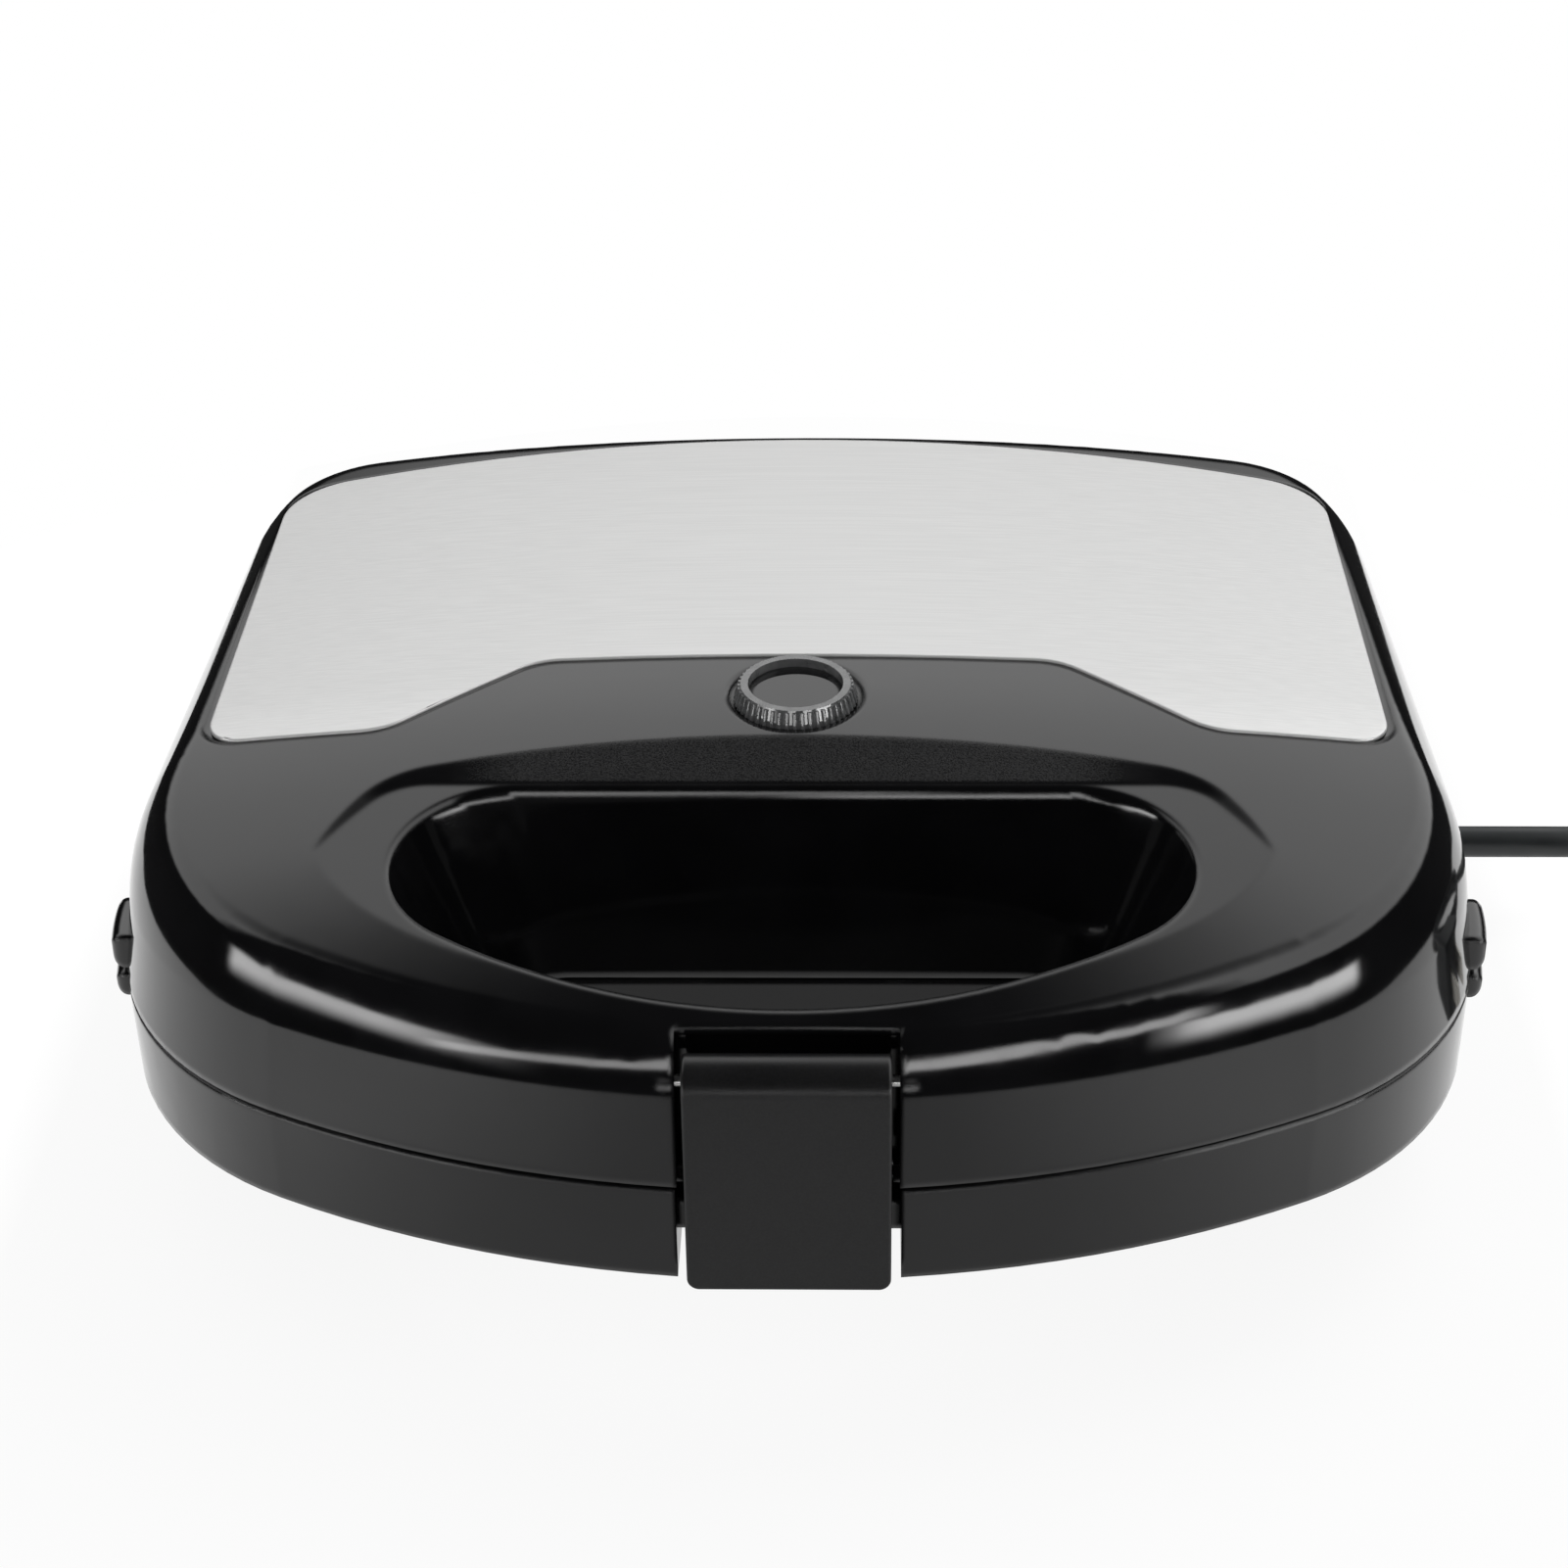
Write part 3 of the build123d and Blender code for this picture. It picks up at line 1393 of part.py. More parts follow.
# Two-pin plug that lies beside the coil
plug_x = coil_x - plug_sleeve_start - plug_sleeve_length
plug_height = 2 * turn_z
pin_face_x = plug_x - plug_length
with BuildPart() as plug_pins:
    with BuildSketch(Plane.YZ.offset(pin_face_x + pin_root)):
        with Locations((turn_y, turn_z)):
            with GridLocations(pin_pitch, 0, 2, 1):
                Rectangle(pin_thickness, pin_width)
    extrude(amount=-pin_length - pin_root)
plug_pins.part.label = "plug_pins"
export_step(plug_pins.part, "parts/plug_pins.step")

with BuildPart() as power_plug:
    with Locations((plug_x - plug_length / 2, turn_y, turn_z)):
        Box(plug_length, plug_width, plug_height)
    fillet(power_plug.edges(), plug_edge_radius)
    with BuildSketch(Plane.XY.offset(turn_z)):
        with BuildLine():
            Polyline(
                (coil_x - plug_sleeve_start, turn_y),
                (coil_x - plug_sleeve_start, turn_y + plug_sleeve_tip_radius),
                (plug_x, turn_y + plug_sleeve_root_radius),
                (plug_x - plug_edge_radius, turn_y + plug_sleeve_root_radius),
                (plug_x - plug_edge_radius, turn_y),
                close=True,
            )
        make_face()
    revolve(axis=Axis((0, turn_y, turn_z), (1, 0, 0)))
    add(plug_pins.part, mode=Mode.SUBTRACT)
power_plug.part.label = "power_plug"
export_step(power_plug.part, "parts/power_plug.step")
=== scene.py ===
import json
import math

import bpy
from bpy.props import FloatProperty, FloatVectorProperty, IntProperty, PointerProperty
from mathutils import Matrix, Vector


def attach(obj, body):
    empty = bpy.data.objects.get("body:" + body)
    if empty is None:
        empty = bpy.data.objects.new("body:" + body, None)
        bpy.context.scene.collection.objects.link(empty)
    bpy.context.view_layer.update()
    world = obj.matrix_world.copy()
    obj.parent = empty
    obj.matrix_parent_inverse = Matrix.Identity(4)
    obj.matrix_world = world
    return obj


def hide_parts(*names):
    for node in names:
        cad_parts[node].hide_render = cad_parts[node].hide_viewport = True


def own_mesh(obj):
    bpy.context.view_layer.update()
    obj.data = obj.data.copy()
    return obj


bl_info = {
    "name": "Donut maker",
    "version": (1, 0, 0),
    "blender": (4, 5, 0),
    "location": "View3D > Sidebar > Donut maker",
    "description": "Dresses a donut maker: gloss shells, steel panel, latch, plates and cord",
    "category": "Object",
}

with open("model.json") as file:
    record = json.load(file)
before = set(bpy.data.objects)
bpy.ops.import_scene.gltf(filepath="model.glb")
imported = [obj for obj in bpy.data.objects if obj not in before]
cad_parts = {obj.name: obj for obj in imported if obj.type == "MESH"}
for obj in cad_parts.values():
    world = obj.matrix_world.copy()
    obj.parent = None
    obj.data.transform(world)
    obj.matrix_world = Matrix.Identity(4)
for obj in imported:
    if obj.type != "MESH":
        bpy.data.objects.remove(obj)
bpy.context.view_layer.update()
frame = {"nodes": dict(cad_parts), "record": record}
SLOT_OF_NODE = {part["node"]: part["material_slot"] for part in frame["record"]["subparts"]}

# Noise seldom leaves this range, so values are spread over it.
NOISE_LOW = 0.3
NOISE_HIGH = 0.7

# Rays per point that find the edges to soften.
EDGE_SAMPLES = 12

# Shares of the moulded edge radius that other pieces have.
PANEL_EDGE = 0.8
SHEET_EDGE = 0.6
PLATED_EDGE = 0.5

# Points of a mesh that are nearer than this are one point.
MERGE_DISTANCE = 0.000002

# The cord leaves its strain relief, comes down to the table and runs to the coil.
CORD_EXIT = (0.131, 0.0495, 0.0165)
CORD_LEAD = (
    (0.161, 0.0495, 0.0165),
    (0.181, 0.055, 0.013),
    (0.203, 0.066, 0.0078),
    (0.225, 0.0735, 0.00445),
    (0.2435, 0.0735, 0.00445),
)

# The tied coil: its two layers, its half turns, the one in which it climbs, and its tail.
COIL_X = 0.25
COIL_START_Y = 0.0735
COIL_LOWER_LAYER = 0.00445
COIL_UPPER_LAYER = 0.0115
COIL_RADII = (0.038, 0.034475, 0.03095, 0.034475, 0.038)
COIL_CLIMB = 2
COIL_TAIL = (0.004, 0.011)

# The softbox behind the object: where its edges and the step to its left part fade, in degrees
# round from the rear and in heights as sines, and what changes at its left.
SOFTBOX_LEFT_EDGE = (-100.0, -85.0)
SOFTBOX_RIGHT_EDGE = (125.0, 135.0)
SOFTBOX_STEP = (10.0, 35.0)
SOFTBOX_BOTTOM = (0.19, 0.29)
SOFTBOX_TOP = (0.78, 1.0)
SOFTBOX_BOTTOM_RAISE = 0.18
SOFTBOX_TOP_DROP = 0.06
SOFTBOX_DIMMING = 0.18

# The strip lights in front: where each fades in and out, in degrees round from the front and
# in heights as sines, the turn from which it climbs, its climb and its share of the level.
STRIP_LIGHTS = (
    {
        "turn": (-44.0, -38.0, 0.0, 2.0),
        "height": (-0.195, -0.17, -0.13, -0.11),
        "climb_from": -44.0,
        "climb": 0.175,
        "share": 1.15,
    },
    {
        "turn": (-2.0, 0.0, 42.0, 48.0),
        "height": (-0.15, -0.125, -0.085, -0.065),
        "climb_from": 0.0,
        "climb": 0.175,
        "share": 1.5,
    },
    {
        "turn": (-79.0, -75.0, -48.0, -28.0),
        "height": (-0.15, 0.0, 0.03, 0.065),
        "climb_from": -60.0,
        "climb": -0.25,
        "share": 1.8,
    },
    {
        "turn": (38.0, 46.0, 73.0, 77.0),
        "height": (-0.24, -0.085, -0.04, 0.0),
        "climb_from": 38.0,
        "climb": 0.0,
        "share": 2.2,
    },
)

# What gloss sees where no light stands.
DARK_LEVEL = 0.02

# The floor's glow: its share as the camera sees it, and its level as gloss sees it, from the
# middle to the sides.
# The lower level in the middle is a painted shadow of the object, which only reflections show.
FLOOR_SHARE = 0.9
FLOOR_PAINTED_SHADOW_EDGES = (0.05, 0.2)
FLOOR_GLOSS_PAINTED_SHADOW = (0.6, 1.2)

# Width of the camera's sensor, in millimetres.
SENSOR_WIDTH = 36.0

# The overhead key light.
KEY_PLACE = (0.5, 0.4, 0.9)
KEY_AIM = (0.0, 0.0, 0.05)
KEY_SIZE = 0.7


class DonutFinishSettings(bpy.types.PropertyGroup):
    shell_colour: FloatVectorProperty(
        name="Shell colour",
        description="Colour of the gloss black plastic",
        subtype="COLOR",
        default=(0.0032, 0.0032, 0.0036),
    )
    shell_roughness: FloatProperty(
        name="Shell roughness",
        description="How blurred the reflections in the gloss plastic are",
        subtype="FACTOR",
        default=0.07,
        min=0.0,
        max=1.0,
    )
    satin_colour: FloatVectorProperty(
        name="Satin colour",
        description="Colour of the satin black plastic",
        subtype="COLOR",
        default=(0.006, 0.006, 0.0064),
    )
    panel_colour: FloatVectorProperty(
        name="Panel colour",
        description="Colour of the brushed steel panel",
        subtype="COLOR",
        default=(0.64, 0.64, 0.635),
    )
    panel_roughness: FloatProperty(
        name="Panel roughness",
        description="How blurred the reflections in the brushed steel are",
        subtype="FACTOR",
        default=0.34,
        min=0.0,
        max=1.0,
    )
    panel_edge_radius: FloatProperty(
        name="Panel edge radius",
        description="How far the edges of the steel panel are rounded over",
        unit="LENGTH",
        default=0.00032,
        min=0.0001,
        max=0.0004,
    )
    plate_colour: FloatVectorProperty(
        name="Plate colour",
        description="Colour of the non-stick coat on the donut plates",
        subtype="COLOR",
        default=(0.035, 0.035, 0.037),
    )
    cord_colour: FloatVectorProperty(
        name="Cord colour",
        description="Colour of the cord's sheath",
        subtype="COLOR",
        default=(0.012, 0.015, 0.016),
    )
    dish_wall_place: FloatProperty(
        name="Dish wall place",
        description="Where the dish's rear wall begins, from front to rear",
        unit="LENGTH",
        default=-0.04844,
    )
    dish_wall_height: FloatProperty(
        name="Dish wall height",
        description="Height above the table at which the dish's rear wall begins",
        unit="LENGTH",
        default=0.08666,
    )
    dish_wall_slope: FloatProperty(
        name="Dish wall slope",
        description="Rise of the dish's rear wall over its run",
        default=0.4232,
        min=0.0,
        max=2.0,
    )
    shell_edge_radius: FloatProperty(
        name="Shell edge softness",
        description="Radius that the edges of the gloss shells appear to have",
        unit="LENGTH",
        default=0.0018,
        min=0.0,
        max=0.003,
    )
    edge_radius: FloatProperty(
        name="Edge softness",
        description="Radius that moulded edges appear to have",
        unit="LENGTH",
        default=0.0005,
        min=0.0,
        max=0.003,
    )


class DonutCordSettings(bpy.types.PropertyGroup):
    diameter: FloatProperty(
        name="Cord diameter",
        description="Thickness of the cord's sheath",
        unit="LENGTH",
        default=0.0065,
        min=0.003,
        max=0.012,
    )
    length: FloatProperty(
        name="Cord length",
        description="Length of the cord from its strain relief to the plug",
        unit="LENGTH",
        default=0.6875,
        min=0.2,
        max=3.0,
    )
    turn_points: IntProperty(
        name="Points per half turn",
        description="Control points in each half turn of the coil",
        default=8,
        min=6,
        max=16,
    )


class DonutButtonSettings(bpy.types.PropertyGroup):
    travel: FloatProperty(
        name="Button travel",
        # How far a release button is pressed in
        description="How far a release button is pressed in, which its spring gives way by",
        unit="LENGTH",
        default=0.003,
        min=0.001,
        max=0.004,
    )


class DonutStageSettings(bpy.types.PropertyGroup):
    camera_place: FloatVectorProperty(
        name="Camera place",
        description="Where the camera stands",
        subtype="TRANSLATION",
        unit="LENGTH",
        default=(0.01185, -0.5110, 0.35402),
    )
    camera_pitch: FloatProperty(
        name="Camera pitch",
        description="How far the camera looks down",
        subtype="ANGLE",
        default=0.5236,
    )
    camera_yaw: FloatProperty(
        name="Camera yaw",
        description="How far the camera looks to the right",
        subtype="ANGLE",
        default=-0.02908,
    )
    camera_roll: FloatProperty(
        name="Camera roll",
        description="How far the camera leans",
        subtype="ANGLE",
        default=-0.0143,
    )
    camera_lens: FloatProperty(
        name="Lens",
        description="Focal length on a 36 mm sensor, in millimetres",
        default=71.955,
        min=10.0,
        max=300.0,
    )
    floor_radius: FloatProperty(
        name="Floor radius",
        description="Radius of the pale floor",
        unit="LENGTH",
        default=0.31,
        min=0.3,
        max=3.0,
    )
    floor_colour: FloatVectorProperty(
        name="Floor colour",
        description="Colour of the pale floor",
        subtype="COLOR",
        default=(0.9, 0.9, 0.9),
    )
    sky_level: FloatProperty(
        name="Soft light",
        description="Level of the soft light from all round",
        default=0.75,
        min=0.0,
        max=2.0,
    )
    softbox_level: FloatProperty(
        name="Softbox",
        description="Brightness of the large softbox behind the object, as gloss shows it",
        default=1.9,
        min=0.0,
        max=4.0,
    )
    strip_level: FloatProperty(
        name="Strip lights",
        description="Brightness of the low strip lights in front, as gloss shows them",
        default=4.6,
        min=0.0,
        max=20.0,
    )
    key_power: FloatProperty(
        name="Key light",
        description="Power of the overhead key light, in watts",
        default=4.0,
        min=0.0,
        max=50.0,
    )


def blank_finish(name):
    """Start a finish and return it with its node tree."""
    finish = bpy.data.materials.new(name)
    finish.use_nodes = True
    return finish, finish.node_tree


def shader_input(tree, name):
    """A socket of a finish's shader."""
    return tree.nodes["Principled BSDF"].inputs[name]


def number(tree, operation, *values):
    """A sum on sockets and plain numbers."""
    step = tree.nodes.new("ShaderNodeMath")
    step.operation = operation
    for socket, value in zip(step.inputs, values):
        if isinstance(value, (int, float)):
            socket.default_value = value
        else:
            tree.links.new(value, socket)
    return step.outputs["Value"]


def rise(tree, value, start, end, low=0.0, high=1.0):
    """A soft step from low to high as a value goes from start to end."""
    step = tree.nodes.new("ShaderNodeMapRange")
    step.interpolation_type = "SMOOTHSTEP"
    for name, edge in (("From Min", start), ("From Max", end), ("To Min", low), ("To Max", high)):
        step.inputs[name].default_value = edge
    tree.links.new(value, step.inputs["Value"])
    return step.outputs["Result"]


def fall(tree, value, start, end):
    """A soft step from one to nought as a value goes from start to end."""
    return rise(tree, value, start, end, low=1.0, high=0.0)


def band(tree, value, first, last):
    """One between two soft edges and nought outside them."""
    return number(tree, "MULTIPLY", rise(tree, value, *first), fall(tree, value, *last))


def place_parts(tree, kind):
    """The x, y and z of a place, in the coordinates of the given kind."""
    place = tree.nodes.new("ShaderNodeTexCoord")
    parts = tree.nodes.new("ShaderNodeSeparateXYZ")
    tree.links.new(place.outputs[kind], parts.inputs["Vector"])
    return [parts.outputs[axis] for axis in "XYZ"]


def clear_ray(tree, path):
    """One for rays from the camera, straight or through clear plastic, and nought for others."""
    return number(
        tree,
        "MAXIMUM",
        path.outputs["Is Camera Ray"],
        path.outputs["Is Transmission Ray"],
    )


def mix_shaders(tree, factor, first, second):
    """The first shader where the factor is nought and the second where it is one."""
    mix = tree.nodes.new("ShaderNodeMixShader")
    tree.links.new(factor, mix.inputs["Fac"])
    tree.links.new(first, mix.inputs[1])
    tree.links.new(second, mix.inputs[2])
    return mix.outputs["Shader"]


def grain(tree, scale, detail=2.0, squeeze=(1.0, 1.0, 1.0)):
    """Noise in the piece's own coordinates, squeezed so many times along each axis."""
    place = tree.nodes.new("ShaderNodeTexCoord")
    draw = tree.nodes.new("ShaderNodeMapping")
    draw.inputs["Scale"].default_value = squeeze
    noise = tree.nodes.new("ShaderNodeTexNoise")
    noise.inputs["Scale"].default_value = scale
    noise.inputs["Detail"].default_value = detail
    tree.links.new(place.outputs["Object"], draw.inputs["Vector"])
    tree.links.new(draw.outputs["Vector"], noise.inputs["Vector"])
    return noise.outputs["Fac"]


def vary_colour(tree, factor, dark, light, start=0.35, end=0.65):
    """Run the colour of a finish from dark to light with the grain."""
    ramp = tree.nodes.new("ShaderNodeValToRGB")
    ramp.color_ramp.elements[0].position = start
    ramp.color_ramp.elements[0].color = (*dark, 1.0)
    ramp.color_ramp.elements[1].position = end
    ramp.color_ramp.elements[1].color = (*light, 1.0)
    tree.links.new(factor, ramp.inputs["Fac"])
    tree.links.new(ramp.outputs["Color"], shader_input(tree, "Base Color"))


def vary_roughness(tree, factor, low, high):
    """Run the roughness of a finish from low to high with the grain."""
    reach = tree.nodes.new("ShaderNodeMapRange")
    reach.inputs["From Min"].default_value = NOISE_LOW
    reach.inputs["From Max"].default_value = NOISE_HIGH
    reach.inputs["To Min"].default_value = low
    reach.inputs["To Max"].default_value = high
    tree.links.new(factor, reach.inputs["Value"])
    tree.links.new(reach.outputs["Result"], shader_input(tree, "Roughness"))


def relief(tree, factor, depth, strength, edge=0.0):
    """Raise the surface with the grain, on softened edges where an edge radius is given."""
    bump = tree.nodes.new("ShaderNodeBump")
    bump.inputs["Distance"].default_value = depth
    bump.inputs["Strength"].default_value = strength
    tree.links.new(factor, bump.inputs["Height"])
    if edge:
        soften = tree.nodes.new("ShaderNodeBevel")
        soften.samples = EDGE_SAMPLES
        soften.inputs["Radius"].default_value = edge
        tree.links.new(soften.outputs["Normal"], bump.inputs["Normal"])
    tree.links.new(bump.outputs["Normal"], shader_input(tree, "Normal"))


def shade(colour, amount):
    """A colour made darker or lighter."""
    return tuple(min(1.0, part * amount) for part in colour)


def gloss_finish():
    """Gloss black moulded plastic with the faint unevenness of a polished mould."""
    settings = bpy.context.scene.donut_finishes
    finish, tree = blank_finish("Gloss black plastic")
    shader_input(tree, "IOR").default_value = 1.5
    wave = grain(tree, scale=60.0)
    vary_colour(
        tree,
        wave,
        dark=shade(settings.shell_colour, 0.8),
        light=shade(settings.shell_colour, 1.25),
    )
    vary_roughness(
        tree,
        grain(tree, scale=220.0, detail=3.0),
        low=settings.shell_roughness * 0.8,
        high=settings.shell_roughness * 1.25,
    )
    relief(tree, wave, depth=0.00004, strength=0.25, edge=settings.shell_edge_radius)
    return finish


def lid_finish():
    """Gloss black plastic of the lid, with a fine eroded texture on the dish's rear wall."""
    settings = bpy.context.scene.donut_finishes
    finish = gloss_finish()
    finish.name = "Gloss black lid"
    tree = finish.node_tree
    across, along, height = place_parts(tree, "Object")
    run = number(tree, "ADD", along, -settings.dish_wall_place)
    above = number(tree, "MULTIPLY_ADD", run, -settings.dish_wall_slope, height)
    off_wall = number(tree, "ABSOLUTE", number(tree, "ADD", above, -settings.dish_wall_height))
    on_wall = fall(tree, off_wall, start=0.00008, end=0.00016)
    behind = rise(tree, run, start=0.0002, end=0.0012)
    aside = number(tree, "ABSOLUTE", across)
    between = fall(tree, aside, start=0.045, end=0.066)
    wall = number(tree, "MULTIPLY", number(tree, "MULTIPLY", on_wall, behind), between)
    roughness = shader_input(tree, "Roughness")
    fine = grain(tree, scale=3200.0)
    worn = rise(tree, fine, start=NOISE_LOW, end=NOISE_HIGH, low=0.28, high=0.52)
    mix = tree.nodes.new("ShaderNodeMix")
    tree.links.new(wall, mix.inputs["Factor"])
    tree.links.new(roughness.links[0].from_socket, mix.inputs["A"])
    tree.links.new(worn, mix.inputs["B"])
    tree.links.new(mix.outputs["Result"], roughness)
    normal = shader_input(tree, "Normal")
    texture = tree.nodes.new("ShaderNodeBump")
    texture.inputs["Distance"].default_value = 0.00006
    strength = number(tree, "MULTIPLY", wall, 0.6)
    tree.links.new(fine, texture.inputs["Height"])
    tree.links.new(strength, texture.inputs["Strength"])
    tree.links.new(normal.links[0].from_socket, texture.inputs["Normal"])
    tree.links.new(texture.outputs["Normal"], normal)
    return finish


def satin_finish():
    """Satin black plastic with a fine spark-eroded texture."""
    settings = bpy.context.scene.donut_finishes
    finish, tree = blank_finish("Satin black plastic")
    shader_input(tree, "IOR").default_value = 1.43
    fine = grain(tree, scale=2600.0)
    vary_colour(
        tree,
        fine,
        dark=shade(settings.satin_colour, 0.8),
        light=shade(settings.satin_colour, 1.3),
    )
    vary_roughness(tree, grain(tree, scale=90.0), low=0.3, high=0.4)
    relief(tree, fine, depth=0.00003, strength=0.35, edge=settings.edge_radius)
    return finish


def panel_finish():
    """Stainless steel brushed from side to side."""
    settings = bpy.context.scene.donut_finishes
    finish, tree = blank_finish("Brushed steel panel")
    shader_input(tree, "Metallic").default_value = 0.35
    streaks = grain(tree, scale=22.0, detail=5.0, squeeze=(1.0, 110.0, 110.0))
    vary_colour(
        tree,
        streaks,
        dark=shade(settings.panel_colour, 0.965),
        light=shade(settings.panel_colour, 1.035),
    )
    hair = grain(tree, scale=40.0, detail=4.0, squeeze=(1.0, 120.0, 120.0))
    vary_roughness(
        tree,
        hair,
        low=settings.panel_roughness * 0.92,
        high=settings.panel_roughness * 1.08,
    )
    relief(tree, hair, depth=0.000012, strength=0.35, edge=settings.edge_radius * PANEL_EDGE)
    return finish


def lens_finish():
    """Smoky clear moulded plastic of the indicator ring."""
    finish, tree = blank_finish("Clear lens")
    shader_input(tree, "Transmission Weight").default_value = 0.5
    shader_input(tree, "IOR").default_value = 1.59
    flow = grain(tree, scale=420.0)
    vary_colour(tree, flow, dark=(0.16, 0.162, 0.165), light=(0.24, 0.242, 0.245))
    vary_roughness(tree, flow, low=0.01, high=0.03)
    return finish


def nonstick_finish():
    """Dark non-stick coat with a fine fleck."""
    settings = bpy.context.scene.donut_finishes
    finish, tree = blank_finish("Non-stick coat")
    shader_input(tree, "IOR").default_value = 1.4
    vary_colour(
        tree,
        grain(tree, scale=1500.0, detail=1.0),
        dark=settings.plate_colour,
        light=shade(settings.plate_colour, 2.2),
        start=0.55,
        end=0.75,
    )
    vary_roughness(tree, grain(tree, scale=120.0), low=0.32, high=0.45)
    pores = grain(tree, scale=1900.0)
    relief(tree, pores, depth=0.00004, strength=0.3, edge=settings.edge_radius)
    return finish


def tray_finish():
    """Aluminised steel sheet with rolling marks."""
    settings = bpy.context.scene.donut_finishes
    finish, tree = blank_finish("Aluminised sheet")
    shader_input(tree, "Metallic").default_value = 1.0
    roll = grain(tree, scale=30.0, detail=4.0, squeeze=(1.0, 18.0, 1.0))
    vary_colour(tree, roll, dark=(0.42, 0.42, 0.42), light=(0.58, 0.58, 0.57))
    vary_roughness(tree, roll, low=0.34, high=0.5)
    relief(tree, roll, depth=0.00003, strength=0.3, edge=settings.edge_radius * SHEET_EDGE)
    return finish


def element_finish():
    """Heater sheath, browned by heat in patches."""
    finish, tree = blank_finish("Heater sheath")
    shader_input(tree, "Metallic").default_value = 1.0
    heat = grain(tree, scale=55.0, detail=3.0)
    vary_colour(tree, heat, dark=(0.11, 0.095, 0.085), light=(0.24, 0.21, 0.19))
    vary_roughness(tree, heat, low=0.45, high=0.62)
    relief(tree, grain(tree, scale=900.0), depth=0.00004, strength=0.3)
    return finish


def fastener_finish():
    """Plated steel of screws, pins and clips."""
    settings = bpy.context.scene.donut_finishes
    finish, tree = blank_finish("Plated steel")
    shader_input(tree, "Metallic").default_value = 1.0
    cloud = grain(tree, scale=260.0, detail=3.0)
    vary_colour(tree, cloud, dark=(0.5, 0.5, 0.5), light=(0.66, 0.66, 0.65))
    vary_roughness(tree, cloud, low=0.2, high=0.32)
    relief(tree, cloud, depth=0.00002, strength=0.2, edge=settings.edge_radius * PLATED_EDGE)
    return finish


def spring_finish():
    """Bright drawn spring wire."""
    finish, tree = blank_finish("Spring wire")
    shader_input(tree, "Metallic").default_value = 1.0
    drawn = grain(tree, scale=700.0)
    vary_colour(tree, drawn, dark=(0.46, 0.46, 0.47), light=(0.58, 0.58, 0.59))
    vary_roughness(tree, drawn, low=0.22, high=0.34)
    relief(tree, drawn, depth=0.00001, strength=0.2)
    return finish


def rubber_finish():
    """Matt black rubber."""
    settings = bpy.context.scene.donut_finishes
    finish, tree = blank_finish("Matt rubber")
    bloom = grain(tree, scale=160.0, detail=3.0)
    vary_colour(tree, bloom, dark=(0.018, 0.018, 0.019), light=(0.034, 0.034, 0.035))
    vary_roughness(tree, bloom, low=0.68, high=0.82)
    pores = grain(tree, scale=1400.0)
    relief(tree, pores, depth=0.00005, strength=0.35, edge=settings.edge_radius)
    return finish


def sheath_finish():
    """Smooth cord sheath with a faint extruded unevenness."""
    settings = bpy.context.scene.donut_finishes
    finish, tree = blank_finish("Cord sheath")
    flow = grain(tree, scale=180.0, detail=3.0)
    vary_colour(
        tree,
        flow,
        dark=shade(settings.cord_colour, 0.85),
        light=shade(settings.cord_colour, 1.2),
    )
    vary_roughness(tree, flow, low=0.42, high=0.55)
    pores = grain(tree, scale=900.0)
    relief(tree, pores, depth=0.00003, strength=0.25, edge=settings.edge_radius)
    return finish


def board_finish():
    """Green circuit board with paler tracks under the lacquer."""
    finish, tree = blank_finish("Circuit board")
    tracks = grain(tree, scale=320.0, detail=0.0, squeeze=(1.0, 3.0, 1.0))
    vary_colour(
        tree,
        tracks,
        dark=(0.02, 0.1, 0.045),
        light=(0.05, 0.2, 0.09),
        start=0.48,
        end=0.52,
    )
    vary_roughness(tree, tracks, low=0.3, high=0.4)
    relief(tree, tracks, depth=0.00003, strength=0.4)
    return finish


def ceramic_finish():
    """Pale heat-proof ceramic with a dry surface."""
    settings = bpy.context.scene.donut_finishes
    finish, tree = blank_finish("Pale ceramic")
    dust = grain(tree, scale=420.0, detail=4.0)
    vary_colour(tree, dust, dark=(0.62, 0.6, 0.55), light=(0.74, 0.72, 0.67))
    vary_roughness(tree, dust, low=0.5, high=0.66)
    relief(tree, dust, depth=0.00004, strength=0.3, edge=settings.edge_radius)
    return finish


def lamp_finish():
    """Tinted lamp body."""
    finish, tree = blank_finish("Red lamp body")
    shader_input(tree, "Transmission Weight").default_value = 0.6
    shader_input(tree, "IOR").default_value = 1.5
    flow = grain(tree, scale=500.0)
    vary_colour(tree, flow, dark=(0.34, 0.03, 0.025), light=(0.52, 0.06, 0.05))
    vary_roughness(tree, flow, low=0.12, high=0.22)
    relief(tree, flow, depth=0.00002, strength=0.2)
    return finish


def pin_finish():
    """Nickel-plated plug pins with light tarnish."""
    settings = bpy.context.scene.donut_finishes
    finish, tree = blank_finish("Plated pins")
    shader_input(tree, "Metallic").default_value = 1.0
    tarnish = grain(tree, scale=340.0, detail=4.0)
    vary_colour(tree, tarnish, dark=(0.4, 0.385, 0.35), light=(0.52, 0.505, 0.47))
    vary_roughness(tree, tarnish, low=0.22, high=0.36)
    relief(tree, tarnish, depth=0.00002, strength=0.2, edge=settings.edge_radius * PLATED_EDGE)
    return finish


FINISH_MAKERS = {
    "gloss_black": gloss_finish,
    "satin_black": satin_finish,
    "brushed_panel": panel_finish,
    "clear_lens": lens_finish,
    "nonstick": nonstick_finish,
    "tray_steel": tray_finish,
    "element_steel": element_finish,
    "fastener_steel": fastener_finish,
    "spring_steel": spring_finish,
    "black_rubber": rubber_finish,
    "cord_pvc": sheath_finish,
    "board_green": board_finish,
    "ceramic": ceramic_finish,
    "lamp_red": lamp_finish,
    "pin_brass": pin_finish,
}
made_finishes = {}


def finish_for(slot):
    """The finish of a material slot, made the first time it is asked for."""
    if slot not in made_finishes:
        made_finishes[slot] = FINISH_MAKERS[slot]()
    return made_finishes[slot]


